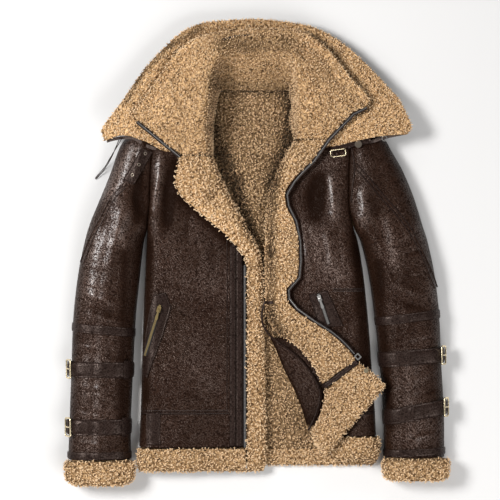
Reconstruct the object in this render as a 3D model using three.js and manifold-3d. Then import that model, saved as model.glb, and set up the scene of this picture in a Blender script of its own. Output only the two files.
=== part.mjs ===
// A shearling coat laid out on its back with the fronts open: leather outside, wool inside.
// Every panel that a maker cuts and sews on is a wall of its own, lying on the panels below it.
// Millimetres. +X is the viewer's right, +Y runs from the hem up to the collar, +Z is up.
// "right" and "left" in names are the wearer's sides, so the right front lies at -X.
import * as THREE from "three";
import Module from "manifold-3d";

const wasm = await Module();
wasm.setup();

// Driving sizes
const PANEL = 8; // leather with sheared wool, fronts and sleeves
const BACK = 10; // back panels, with their full pile
const FACING = 9; // turned-out front edges
const COLLAR = 9;
const HEM = 11; // wool hems
const HEM_BACK = 12;
const GAP = 0.3; // between pieces at a seam
const ON_BACK = BACK + GAP; // where what lies on the back panels starts
const ON_HEM = HEM_BACK + 0.5;
const STRAP_WIDTH = 29;
const STRAP_THICK = 2.4;
const LIFT = 0.7; // of a strap or patch above its panel

const WOOL = { color: 0xc39a62, roughness: 0.95, metalness: 0 };
const LEATHER = { color: 0x2b1c17, roughness: 0.42, metalness: 0 };
const TRIM = { color: 0x1d1513, roughness: 0.4, metalness: 0 };
const METAL = { color: 0xb79a5e, roughness: 0.3, metalness: 0.9 };

const coat = new THREE.Group();

function add(name, geometry, look) {
  const mesh = new THREE.Mesh(geometry, new THREE.MeshStandardMaterial(look));
  mesh.name = name;
  coat.add(mesh);
  return mesh;
}

function table(columns, ...rows) {
  const names = columns.split(" ");
  return rows.map((row) => Object.fromEntries(names.map((name, k) => [name, row[k]])));
}

// A table's column read smoothly at any place along another column, never past its own values.
function read(rows, along, column, at) {
  const secant = (k) => (rows[k + 1][column] - rows[k][column]) / (rows[k + 1][along] - rows[k][along]);
  const slope = (k) => {
    if (k === 0) return secant(0);
    if (k === rows.length - 1) return secant(k - 1);
    const product = secant(k - 1) * secant(k);
    return product <= 0 ? 0 : (2 * product) / (secant(k - 1) + secant(k));
  };
  const way = Math.sign(rows[1][along] - rows[0][along]);
  let k = 0;
  while (k < rows.length - 2 && (at - rows[k + 1][along]) * way > 0) k += 1;
  const span = rows[k + 1][along] - rows[k][along];
  const t = THREE.MathUtils.clamp((at - rows[k][along]) / span, 0, 1);
  const [p, q, m, n] = [rows[k][column], rows[k + 1][column], slope(k) * span, slope(k + 1) * span];
  return p + t * m + t * t * (3 * (q - p) - 2 * m - n) + t * t * t * (2 * (p - q) + m + n);
}

// A closed wall between two grids of points, rows by columns.
function wall(outer, inner) {
  const rows = outer.length;
  const columns = outer[0].length;
  const points = [...outer.flat(), ...inner.flat()];
  const half = rows * columns;
  const faces = [];
  const quad = (a, b, c, d) => faces.push(a, b, c, a, c, d);
  for (let i = 0; i < rows - 1; i += 1) {
    for (let j = 0; j < columns - 1; j += 1) {
      const a = i * columns + j;
      const b = a + columns;
      quad(a, b, b + 1, a + 1);
      quad(half + a, half + a + 1, half + b + 1, half + b);
    }
    const left = i * columns;
    const right = left + columns - 1;
    quad(left, half + left, half + left + columns, left + columns);
    quad(right, right + columns, half + right + columns, half + right);
  }
  for (let j = 0; j < columns - 1; j += 1) {
    const end = (rows - 1) * columns + j;
    quad(j, j + 1, half + j + 1, half + j);
    quad(end, half + end, half + end + 1, end + 1);
  }
  return closed(points, faces);
}

// A ring of closed loops, outer ones then inner ones, such as a cuff.
function ring(loops) {
  const size = loops[0].length;
  const faces = [];
  loops.forEach((_, i) => {
    const next = (i + 1) % loops.length;
    for (let j = 0; j < size; j += 1) {
      const k = (j + 1) % size;
      faces.push(i * size + j, next * size + j, next * size + k);
      faces.push(i * size + j, next * size + k, i * size + k);
    }
  });
  return closed(loops.flat(), faces);
}

// An indexed body from points and faces, turned so that its faces point out.
function closed(points, faces) {
  let volume = 0;
  for (let k = 0; k < faces.length; k += 3) {
    const [a, b, c] = [points[faces[k]], points[faces[k + 1]], points[faces[k + 2]]];
    volume += a.dot(new THREE.Vector3().crossVectors(b, c));
  }
  const index = volume > 0 ? faces : faces.slice().reverse();
  const geometry = new THREE.BufferGeometry().setFromPoints(points);
  geometry.setIndex(index);
  geometry.computeVertexNormals();
  return geometry;
}

// Largest folds of the leather: soft ridges, or troughs where the height is negative.
const FOLDS = table(
  "x0 y0 x1 y1 half height",
  [-183, 182, -198, 80, 9, 7], // ridge of the right front beside the armhole
  [-170, 150, -176, 40, 8, -4],
  [-236, 120, -214, 60, 10, -5], // hollow of the right sleeve head
  [-258, 92, -272, 20, 12, 5],
  [-332, -78, -262, -100, 7, 2.5], // elbow creases
  [-330, -104, -266, -122, 6, -2.5],
  [140, 140, 146, 60, 10, 6], // ridge of the left front
  [112, 150, 106, 70, 14, -6],
  [196, 120, 204, 50, 9, 5],
  [222, 96, 246, 10, 10, -3],
  [252, -62, 318, -84, 7, 2.5],
  [256, -92, 322, -110, 6, -2.5],
);

function foldLift(x, y) {
  let lift = 0;
  for (const fold of FOLDS) {
    const [dx, dy] = [fold.x1 - fold.x0, fold.y1 - fold.y0];
    const t = ((x - fold.x0) * dx + (y - fold.y0) * dy) / (dx * dx + dy * dy);
    const near = THREE.MathUtils.clamp(t, 0, 1);
    const away = Math.hypot(x - fold.x0 - near * dx, y - fold.y0 - near * dy) / fold.half;
    const fade = Math.sin(Math.PI * THREE.MathUtils.clamp(t, 0.06, 0.94)) ** 0.7;
    lift += fold.height * fade * Math.exp(-away * away);
  }
  return lift;
}

// A band of cloth: sections across it from its left end to its right end, in rows down the coat.
// Each end either stops at a seam or rolls over and down to its foot.
function rowAt(band, at) {
  const row = { rollLeft: 0, rollRight: 0, crown: 0, ...band.fixed };
  for (const column of Object.keys(band.rows[0])) row[column] = read(band.rows, band.along, column, at);
  if (band.along === "y") Object.assign(row, { ax: row.left, ay: at, bx: row.right, by: at });
  return band.fit ? band.fit(row, at) : row;
}

// Surface point of a section at distance s from its left end, with its outward normal.
function surfaceAt(band, row, s) {
  const along = new THREE.Vector3(row.bx - row.ax, row.by - row.ay, 0);
  const length = along.length();
  along.divideScalar(length);
  const flat = Math.max(length - row.rollLeft - row.rollRight, 1);
  const u = THREE.MathUtils.clamp((s - row.rollLeft) / flat, 0, 1);
  const ease = u * u * (3 - 2 * u);
  let z = row.zLeft + (row.zRight - row.zLeft) * ease + row.crown * Math.sin(Math.PI * u) ** 2;
  let lean = 0;
  if (row.rollLeft > 0 && s < row.rollLeft) {
    const turn = Math.acos(THREE.MathUtils.clamp(1 - s / row.rollLeft, 0, 1));
    const drop = z - row.footLeft;
    z = row.footLeft + drop * Math.sin(turn);
    lean = -(Math.PI / 2 - turn) * Math.min(1, drop / (1.5 * band.wall));
  } else if (row.rollRight > 0 && length - s < row.rollRight) {
    const turn = Math.acos(THREE.MathUtils.clamp(1 - (length - s) / row.rollRight, 0, 1));
    const drop = z - row.footRight;
    z = row.footRight + drop * Math.sin(turn);
    lean = (Math.PI / 2 - turn) * Math.min(1, drop / (1.5 * band.wall));
  }
  const x = row.ax + along.x * s;
  const y = row.ay + along.y * s;
  if (band.folds) z += foldLift(x, y) * Math.cos(lean) ** 2;
  const normal = along.multiplyScalar(Math.sin(lean)).setZ(Math.cos(lean));
  return { point: new THREE.Vector3(x, y, z), normal };
}

// Distances across a section: close together round the rolls, even between them.
function stops(band, row) {
  const length = Math.hypot(row.bx - row.ax, row.by - row.ay);
  const found = [];
  for (let k = 0; k < band.bendLeft; k += 1) {
    found.push(row.rollLeft * (1 - Math.cos((k / band.bendLeft) * (Math.PI / 2))));
  }
  const flat = length - row.rollLeft - row.rollRight;
  for (let k = 0; k <= band.flat; k += 1) found.push(row.rollLeft + (flat * k) / band.flat);
  for (let k = band.bendRight - 1; k >= 0; k -= 1) {
    found.push(length - row.rollRight * (1 - Math.cos((k / band.bendRight) * (Math.PI / 2))));
  }
  return found;
}

function stations(band) {
  const first = band.rows[0][band.along];
  const last = band.rows[band.rows.length - 1][band.along];
  if (band.exact) return band.rows.map((row) => row[band.along]);
  return Array.from({ length: band.steps + 1 }, (_, k) => first + ((last - first) * k) / band.steps);
}

function bandWall(band) {
  const outer = [];
  const inner = [];
  for (const at of stations(band)) {
    const row = rowAt(band, at);
    const spots = stops(band, row).map((s) => surfaceAt(band, row, s));
    outer.push(spots.map(({ point }) => point));
    inner.push(spots.map(({ point, normal }) => point.clone().addScaledVector(normal, -band.wall)));
  }
  return wall(outer, inner);
}

function heightAt(band, x, y) {
  const row = rowAt(band, y);
  return surfaceAt(band, row, x - row.left).point.z;
}

// A flat piece lying on a band: a grid of plan points, moved out along the band's own slope.
function patch(band, plan, thick, lift = LIFT) {
  const outer = [];
  const inner = [];
  const step = 1.5;
  for (const line of plan) {
    const spots = line.map(([x, y]) => {
      const slopeX = (heightAt(band, x + step, y) - heightAt(band, x - step, y)) / (2 * step);
      const slopeY = (heightAt(band, x, y + step) - heightAt(band, x, y - step)) / (2 * step);
      const normal = new THREE.Vector3(-slopeX, -slopeY, 1).normalize();
      return { point: new THREE.Vector3(x, y, heightAt(band, x, y)), normal };
    });
    outer.push(spots.map(({ point, normal }) => point.clone().addScaledVector(normal, lift + thick)));
    inner.push(spots.map(({ point, normal }) => point.clone().addScaledVector(normal, lift)));
  }
  return wall(outer, inner);
}

// Plan grid between two edge lines, given as matching points down the piece.
function between(leftLine, rightLine, columns, rows) {
  const pick = (line, t) => {
    const place = t * (line.length - 1);
    const k = Math.min(Math.floor(place), line.length - 2);
    return [0, 1].map((c) => line[k][c] + (line[k + 1][c] - line[k][c]) * (place - k));
  };
  return Array.from({ length: rows + 1 }, (_, i) => {
    const [a, b] = [pick(leftLine, i / rows), pick(rightLine, i / rows)];
    return Array.from({ length: columns + 1 }, (_, j) =>
      [0, 1].map((c) => a[c] + ((b[c] - a[c]) * j) / columns),
    );
  });
}

const FOLDED = 4; // how much thicker a strap is where it is folded round its buckle's bar
const FOLD_ENDS = [0.12, 0.3]; // shares of its length at which it begins and has finished thinning
// A strap across a sleeve from side to side, its centre line running from yLeft to yRight.
// `doubled` is the folded end, -1 left, 1 right or 0 for none.
function strapOn(band, yLeft, yRight, width, thick, lift = LIFT, from = 0, to = 1, doubled = 0) {
  const outer = [];
  const inner = [];
  const middle = rowAt(band, (yLeft + yRight) / 2);
  const span = middle.bx - middle.ax;
  const shares = stops(band, middle).map((s) => from + ((to - from) * s) / span);
  const extra = (share) => {
    if (doubled === 0) return 0;
    return FOLDED * (1 - THREE.MathUtils.smoothstep(doubled > 0 ? 1 - share : share, ...FOLD_ENDS));
  };
  for (const side of [0.5, 0, -0.5]) {
    const spots = shares.map((share) => {
      const row = rowAt(band, yLeft + (yRight - yLeft) * share + side * width);
      return { ...surfaceAt(band, row, share * (row.bx - row.ax)), high: lift + thick + extra(share) };
    });
    outer.push(spots.map(({ point, normal, high }) => point.clone().addScaledVector(normal, high)));
    inner.push(spots.map(({ point, normal }) => point.clone().addScaledVector(normal, lift)));
  }
  return wall(outer, inner);
}

// A ribbon beside a line of points, such as a zip tape along a free edge.
function ribbon(line, offset, width, thick) {
  const rows = line.map((point, k) => {
    const before = line[Math.max(k - 1, 0)];
    const after = line[Math.min(k + 1, line.length - 1)];
    const side = new THREE.Vector3(after.y - before.y, before.x - after.x, 0).normalize();
    return [offset, offset + width].map((reach) => point.clone().addScaledVector(side, reach));
  });
  const drop = new THREE.Vector3(0, 0, -thick);
  return wall(rows, rows.map((row) => row.map((point) => point.clone().add(drop))));
}

// Fronts. Left and right are the section's ends, z the height of the leather beside each end.
const FRONT_RIGHT = {
  along: "y", wall: PANEL, steps: 17, flat: 7, bendLeft: 4, bendRight: 0, folds: true,
  rows: table(
    "y left right zLeft zRight footLeft rollLeft",
    [289, -118, -108, 26, 26, ON_BACK, 8],
    [262, -160, -106, 32, 30, ON_BACK, 20],
    [243, -194, -105, 36, 32, 24, 18],
    [228, -198, -105, 40, 33, 36, 8],
    [194, -202, -104, 44, 34, 41, 8],
    [156, -205, -89, 44, 32, 40, 10],
    [99, -207, -62, 44, 30, 38, 14],
    [50, -211.4, -37, 45, 30, 28, 22],
    [20, -213.5, -29.5, 45, 31, ON_BACK, 26],
    [-53, -217, -29.5, 45, 31, ON_BACK, 27],
    [-129, -220, -29.5, 45, 31, ON_BACK, 27],
    [-205, -222.5, -29.5, 45, 31, ON_BACK, 27],
    [-262, -224, -29.5, 45, 31, ON_BACK, 27],
    [-308, -225.5, -29.5, 45, 31, ON_BACK, 27],
  ),
};
const FRONT_LEFT = {
  along: "y", wall: PANEL, steps: 17, flat: 7, bendLeft: 0, bendRight: 4, folds: true,
  rows: table(
    "y left right zLeft zRight footRight rollRight",
    [289, 92, 104, 26, 26, ON_BACK, 8],
    [262, 90, 143, 30, 32, ON_BACK, 20],
    [243, 88, 172, 32, 36, 24, 18],
    [228, 87, 174, 33, 40, 36, 8],
    [194, 74, 173.5, 34, 44, 41, 8],
    [156, 54, 172, 32, 44, 40, 10],
    [99, 35, 171.5, 30, 44, 38, 14],
    [50, 29, 180, 30, 45, 28, 22],
    [20, 27.5, 190, 30, 45, ON_BACK, 26],
    [-53, 28, 202, 30, 45, ON_BACK, 27],
    [-110, 30, 208, 30, 45, ON_BACK, 27],
    [-140, 44, 210.8, 30, 45, ON_BACK, 27],
    [-170, 78, 213.3, 31, 45, ON_BACK, 27],
    [-200, 110, 215.3, 32, 45, ON_BACK, 27],
    [-235, 132, 217.8, 33, 45, ON_BACK, 27],
    [-262, 141, 220, 34, 45, ON_BACK, 27],
    [-308, 144, 223, 34, 45, ON_BACK, 27],
  ),
};
add("front_right", bandWall(FRONT_RIGHT), LEATHER);
add("front_left", bandWall(FRONT_LEFT), LEATHER);

// Waistbands carry on the fronts' sections below a seam.
const WAISTBAND_RIGHT = {
  along: "y", wall: PANEL, exact: true, flat: 5, bendLeft: 4, bendRight: 0,
  rows: table(
    "y left right zLeft zRight footLeft rollLeft",
    [-308.4, -225.5, -29.5, 45, 31, ON_BACK, 27],
    [-340, -226.8, -29.5, 45.5, 31, ON_BACK, 27],
    [-371.4, -228, -29.5, 45, 31, ON_BACK, 27],
  ),
};
const WAISTBAND_LEFT = {
  along: "y", wall: PANEL, exact: true, flat: 3, bendLeft: 0, bendRight: 4,
  rows: table(
    "y left right zLeft zRight footRight rollRight",
    [-308.4, 144, 223, 34, 45, ON_BACK, 27],
    [-330, 142, 224, 33, 45, ON_BACK, 27],
    [-350, 138, 225, 32, 45, ON_BACK, 27],
  ),
};
add("waistband_right", bandWall(WAISTBAND_RIGHT), LEATHER);
add("waistband_left", bandWall(WAISTBAND_LEFT), LEATHER);

// Wool hems of the fronts, rolled over at the bottom.
const HEM_RIGHT = {
  along: "y", wall: HEM, exact: true, flat: 6, bendLeft: 4, bendRight: 0,
  rows: table(
    "y left right zLeft zRight footLeft rollLeft",
    [-371.9, -230, -23, 46, 34, ON_HEM, 26],
    [-380, -233, -23, 49, 37, ON_HEM, 28],
    [-398, -233.7, -23, 49, 37, ON_HEM, 28],
    [-412.5, -231.5, -23, 43, 32, ON_HEM, 26],
    [-420, -227, -23, 32, 26, ON_HEM, 20],
  ),
};
const HEM_LEFT = {
  along: "y", wall: HEM, exact: true, flat: 4, bendLeft: 0, bendRight: 4,
  rows: table(
    "y left right zLeft zRight footRight rollRight",
    [-350.5, 140, 230, 34, 46, ON_HEM, 26],
    [-360, 138, 234, 37, 49, ON_HEM, 28],
    [-375, 136, 234, 37, 49, ON_HEM, 28],
    [-389, 138, 231, 33, 43, ON_HEM, 26],
    [-398, 142, 226, 26, 32, ON_HEM, 20],
  ),
};
add("hem_right", bandWall(HEM_RIGHT), WOOL);
add("hem_left", bandWall(HEM_LEFT), WOOL);

// Back panels lie on the surface with the wool up, as wide as the fronts sewn to them.
function backWall(thick, levels, reach = 0) {
  const outer = [];
  const inner = [];
  for (const { y, inset } of levels) {
    const left = rowAt(FRONT_RIGHT, y).left - reach + inset;
    const right = rowAt(FRONT_LEFT, y).right + reach - inset;
    const xs = Array.from({ length: 9 }, (_, j) => left + ((right - left) * j) / 8);
    outer.push(xs.map((x) => new THREE.Vector3(x, y, thick)));
    inner.push(xs.map((x) => new THREE.Vector3(x, y, 0)));
  }
  return wall(outer, inner);
}
const YOKE_SEAM = 187;
const levelsFrom = (...ys) => ys.map((y) => ({ y, inset: 0 }));
const YOKE_LEVELS = [{ y: 307.6, inset: 46 }, ...levelsFrom(289, 275, 262, 252, 243, 228, 210, YOKE_SEAM)];
const BODY_LEVELS = levelsFrom(YOKE_SEAM - GAP, 156, 128, 99, 74, 50, 34, 20, -20, -90, -160, -230, -308, -376);
const BACK_HEM_LEVELS = [
  { y: -376.4, inset: 4 },
  { y: -388, inset: 0 },
  { y: -399, inset: 2 },
  { y: -407, inset: 9 },
];
add("back_yoke", backWall(BACK, YOKE_LEVELS), WOOL);
add("back_body", backWall(BACK, BODY_LEVELS), WOOL);
add("hem_back", backWall(HEM_BACK, BACK_HEM_LEVELS, 6), WOOL);

// Sleeves: a rounded top piece over a flat under piece, joined to the body down the armhole.
const armholeRight = (y) => rowAt(FRONT_RIGHT, y).left - 2 * GAP;
const armholeLeft = (y) => rowAt(FRONT_LEFT, y).right + 2 * GAP;
const SLEEVE_RIGHT = {
  along: "y", wall: PANEL, steps: 17, flat: 3, bendLeft: 4, bendRight: 4, folds: true,
  fixed: { footLeft: ON_BACK, crown: 3 },
  fit: (row, y) => {
    const bx = Math.min(row.bx, armholeRight(y));
    return { ...row, bx, right: bx };
  },
  rows: table(
    "y left right zLeft zRight footRight rollLeft rollRight",
    [234, -217, -200, 36, 36, 33, 10, 4],
    [213, -257, -199, 42, 42, 39, 30, 6],
    [194, -268, -200, 45, 44, 41, 36, 8],
    [156, -281, -203, 48, 44, 40, 40, 10],
    [99, -304, -206, 50, 44, 38, 42, 14],
    [50, -324, -212, 51, 46, 28, 43, 24],
    [20, -332.5, -219.5, 51, 50, ON_BACK, 44, 34],
    [-53, -346.5, -228, 51, 51, ON_BACK, 44, 40],
    [-129, -354.5, -235.5, 51, 51, ON_BACK, 44, 40],
    [-205, -357.5, -239.5, 50, 50, ON_BACK, 44, 40],
    [-281, -360, -243, 49, 49, ON_BACK, 44, 40],
    [-338, -362, -245, 48, 48, ON_BACK, 44, 40],
    [-395.5, -364, -244.5, 47, 47, ON_BACK, 44, 40],
  ),
};
const SLEEVE_LEFT = {
  along: "y", wall: PANEL, steps: 17, flat: 3, bendLeft: 4, bendRight: 4, folds: true,
  fixed: { footRight: ON_BACK, crown: 3 },
  fit: (row, y) => {
    const ax = Math.max(row.ax, armholeLeft(y));
    return { ...row, ax, left: ax };
  },
  rows: table(
    "y left right zLeft zRight footLeft rollLeft rollRight",
    [234, 172, 210, 36, 36, 33, 4, 16],
    [213, 172, 243, 42, 42, 39, 6, 32],
    [194, 172, 254, 44, 45, 41, 8, 36],
    [156, 171, 275.5, 44, 48, 40, 10, 40],
    [99, 171, 299, 44, 50, 38, 14, 42],
    [50, 182, 314, 46, 51, 28, 24, 43],
    [20, 196, 323.5, 50, 51, ON_BACK, 34, 44],
    [-53, 212.8, 338.5, 51, 51, ON_BACK, 40, 44],
    [-129, 223.3, 346.5, 51, 51, ON_BACK, 40, 44],
    [-205, 231.4, 349.5, 50, 50, ON_BACK, 40, 44],
    [-281, 238, 353.5, 49, 49, ON_BACK, 40, 44],
    [-338, 240.4, 355.5, 48, 48, ON_BACK, 40, 44],
    [-390.7, 240.7, 355.5, 47, 47, ON_BACK, 40, 44],
  ),
};
function underSleeve(sleeve) {
  const grid = (z) =>
    [234, 213, 194, 156, 128, 99, 74, 50, 34, 20, -20, -90, -160, -240, -320, sleeve.rows.at(-1).y].map((y) => {
      const row = rowAt(sleeve, y);
      return [0, 0.5, 1].map((t) => new THREE.Vector3(row.ax + (row.bx - row.ax) * t, y, z));
    });
  return wall(grid(BACK), grid(0));
}
add("sleeve_top_right", bandWall(SLEEVE_RIGHT), LEATHER);
add("sleeve_top_left", bandWall(SLEEVE_LEFT), LEATHER);
add("sleeve_under_right", underSleeve(SLEEVE_RIGHT), LEATHER);
add("sleeve_under_left", underSleeve(SLEEVE_LEFT), LEATHER);

// Wool cuffs: an oval tube, flat where it rests, around the open end of each sleeve.
// `round` is how far each side draws in at the bottom.
const CUFF_HIGH = 57;
function cuff({ xLow, xHigh, yLow, yHigh, round }) {
  const middle = (xLow + xHigh) / 2;
  const half = (xHigh - xLow) / 2;
  const loop = (y, inset, sizeX, low, high) =>
    Array.from({ length: 24 }, (_, k) => {
      const angle = (k / 24) * 2 * Math.PI;
      const [c, s] = [Math.cos(angle), Math.sin(angle)];
      const x = middle + (sizeX - inset) * Math.sign(c) * Math.abs(c) ** 0.62;
      const rise = Math.sign(s) * Math.abs(s) ** 0.75;
      const z = (low + high) / 2 + ((high - low) / 2 - inset) * rise;
      return new THREE.Vector3(x, y, Math.max(z, low));
    });
  const out = (y, inset, narrower = 0) => loop(y, inset, half - narrower, 0, CUFF_HIGH);
  const hole = (y, inset, narrower = 0) => loop(y, inset, half - 20 - narrower, 13, CUFF_HIGH - 16);
  const [top, low] = [yHigh, yLow];
  return ring([
    out(top, 5), out(top - 6, 0), out((top + low) / 2, 0), out(low + 14, 0, 0.16 * round),
    out(low + 5, 4, 0.5 * round), out(low, 12, round),
    hole(low, 0, round), hole((top + low) / 2, 2), hole(top, 1),
  ]);
}
const CUFFS = table(
  "name xLow xHigh yLow yHigh round",
  ["cuff_right", -370.8, -233.8, -446, -396, 12],
  ["cuff_left", 234.2, 365.5, -436.5, -391.2, 3],
);
for (const shape of CUFFS) add(shape.name, cuff(shape), WOOL);

// Facing of the right front: a wool edge beside the zip that turns out above as the lapel.
const FACING_RIGHT = {
  along: "y", wall: FACING, exact: true, flat: 5, bendLeft: 0, bendRight: 4,
  fixed: { footRight: ON_BACK + 0.1, rollRight: 14 },
  rows: table(
    "y left right zLeft zRight",
    [181.6, -147.5, -83, 61, 57],
    [170, -151.5, -79.5, 57, 54],
    [156, -155, -75, 55, 53],
    [143, -157.5, -69.5, 54, 52],
    [130, -158, -63.5, 53, 51],
    [112, -151, -55, 52.5, 50],
    [92, -131, -43.5, 51, 49],
    [66, -101, -29, 49, 47],
    [42, -73, -18, 47.5, 46],
    [18, -48, -4, 46, 45],
    [0, -33.5, 4, 44.5, 43.5],
    [-20, -23.2, 8.5, 43.5, 42],
    [-52, -22.4, 10.5, 33, 31],
    [-129, -22.4, 12, 32, 31],
    [-205, -22.4, 13.3, 32, 31],
    [-281, -22.4, 14.5, 32, 31],
    [-340, -22.4, 15.2, 33, 32],
    [-371, -22.4, 15, 34, 32],
    [-396, -22.4, 14.5, 34, 32],
    [-412.5, -22.4, 13, 30, 28],
    [-420, -22.4, 10, 25, 24],
  ).map((row) => ({ ...row, footRight: row.y < -370 ? ON_HEM : ON_BACK + 0.1 })),
};
add("facing_right", bandWall(FACING_RIGHT), WOOL);

// Facing of the left front, folded back over it. Its left end is the fold, its right end the zip.
const FACING_LEFT = {
  along: "step", wall: FACING, exact: true, flat: 5, bendLeft: 4, bendRight: 0,
  rows: table(
    "step ax ay bx by zLeft zRight footLeft rollLeft",
    [0, 66, 212.4, 128, 212.4, 64, 63.5, 10.5, 14],
    [1, 55, 193, 116, 193, 60, 59, 10.5, 14],
    [2, 44.6, 175, 103.5, 175, 54, 53, 10.5, 14],
    [3, 35, 156, 84, 156, 51, 50, 10.5, 14],
    [4, 27.5, 137, 66.7, 137, 48, 47, 10.5, 14],
    [5, 19, 110, 51, 110, 45, 44, 10.5, 13],
    [6, 15, 86, 54.5, 86, 44, 44, 10.5, 13],
    [7, 12, 57, 69, 57, 44, 45, 10.5, 14],
    [8, 10.5, 20, 76.4, 20, 43, 45, 10.5, 14],
    [9, 9.7, -16, 77.5, -16, 43, 45, 10.5, 14],
    [10, 10.5, -47, 75, -47, 43, 45, 10.5, 14],
    [11, 11.4, -71, 54.5, -71, 43, 44, 10.5, 14],
    [12, 11.4, -90, 55.5, -90, 43, 45, 10.5, 14],
    [13, 12, -110, 71.3, -110, 45, 50, 10.5, 14],
    [14, 18, -133, 103.5, -133, 48, 55, 13, 14],
    [15, 33, -153, 135.5, -153, 50, 57, 26, 14],
    [16, 62, -172, 153, -167, 52, 58, 27, 14],
    [17, 86, -194, 168, -182, 53, 59, 27, 14],
    [18, 106, -222, 178.5, -194, 54, 60, 27, 14],
    [19, 121, -252, 184, -204, 54, 60, 27, 14],
  ),
};
add("facing_left", bandWall(FACING_LEFT), WOOL);

// Corner of the left front's hem, turned up with the facing.
const HEM_CORNER = {
  along: "step", wall: HEM - 1, exact: true, flat: 6, bendLeft: 4, bendRight: 3,
  fixed: { rollLeft: 15, rollRight: 10 },
  rows: table(
    "step ax ay bx by zLeft zRight footLeft footRight",
    [0, 126, -260, 190, -210, 56, 61, 27, 55],
    [1, 122, -288, 203, -218, 57, 62, 27, 56],
    [2, 112, -319, 217, -228, 58, 62, 26, 56],
    [3, 99, -343, 229, -240, 58, 62, 20, 56],
    [4, 107, -368, 237, -248, 58, 62, 16, 56],
    [5, 126, -388, 242, -254, 54, 59, 42, 54],
  ),
};
add("hem_corner_left", bandWall(HEM_CORNER), WOOL);

// Leather side of the left front, seen where its edge twists under the turned corner.
const TURN_LEFT = {
  along: "y", wall: 3, exact: true, flat: 4, bendLeft: 3, bendRight: 0,
  fixed: { footLeft: ON_BACK + 0.2, rollLeft: 9 },
  rows: table(
    "y left right zLeft zRight",
    [-164, 22, 50, 16, 19],
    [-186, 33, 84, 17, 23],
    [-224, 48.5, 113, 18, 25],
    [-262, 67.5, 130, 19, 26],
    [-300, 82.7, 121, 18, 23],
    [-330, 92, 110, 16, 18],
  ),
};
add("front_left_turn", bandWall(TURN_LEFT), LEATHER);

// Collars: stations from the wearer's right front end round the neck to the left front end.
// Each station has five places from the free edge (f) to the neck (n), with their heights.
const OUTER_COLLAR = table(
  "fx fy fz ax ay az bx by bz cx cy cz nx ny nz",
  [-292, 211, 54, -255.5, 221, 58, -214, 209, 57, -172, 190, 54, -119, 201, 48],
  [-297, 231, 55, -259, 239, 58, -214, 236, 57, -164, 232, 54, -117, 236, 49],
  [-284, 253, 52, -246, 262, 56, -204, 262, 55, -159, 260, 52, -113, 266, 49],
  [-262, 283, 46, -229, 287, 51, -193, 283, 53, -153, 277, 51, -109, 279, 46],
  [-239, 317, 40, -210, 312, 46, -180, 306, 49, -143, 298, 48, -105.5, 292.6, 42],
  [-211, 355.5, 36, -187, 346, 41, -160.5, 334, 43, -130, 321, 40, -98, 305, 28],
  [-177.6, 391, 33, -157, 374, 36, -134, 355, 36, -107, 332.5, 30, -84, 309, 11],
  [-142, 421.6, 31, -124.5, 399, 34, -103.5, 372, 32, -81, 342, 24, -62, 308, 10.4],
  [-109, 435.7, 30, -94, 410, 31, -77, 380, 28, -60, 346, 20, -45, 308, 10.2],
  [-65.7, 441, 29, -58, 414, 29, -48.5, 382, 25, -37, 346, 18, -27.5, 308, 10],
  [-1, 443.5, 29, -1, 414, 28, -1, 382, 24, -1, 346, 17, -1, 308, 10],
  [61.8, 437, 29, 52, 410, 29, 43, 380, 25, 33, 346, 18, 25.7, 308, 10],
  [100.5, 429.6, 30, 84.5, 406.6, 31, 69, 378, 28, 54, 344, 20, 43, 308, 10.2],
  [134.5, 413.8, 31, 115, 393, 34, 94, 368.6, 32, 75, 338, 24, 56, 308, 10.4],
  [170.8, 389.5, 33, 147, 372, 36, 122.5, 353, 36, 94, 330.6, 30, 70, 309, 11],
  [207, 355.7, 36, 176, 342, 41, 143.5, 328.7, 43, 109, 315, 40, 80, 302, 28],
  [243.6, 316.7, 40, 204, 309.7, 46, 164, 302, 49, 122.5, 294.5, 48, 86, 288, 42],
  [265.4, 292.6, 46, 221, 287, 51, 176, 281, 53, 132, 275.5, 51, 88, 273.6, 46],
  [280, 263.5, 52, 233, 262, 56, 183, 260, 55, 138, 258, 52, 89, 256.5, 49],
  [289.6, 237, 55, 240, 239, 58, 189, 237.5, 57, 140, 233.7, 54, 89, 233.7, 50],
  [282, 223, 54, 231, 219.5, 58, 183, 210, 57, 136, 199.5, 51, 94, 201, 47],
);
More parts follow.
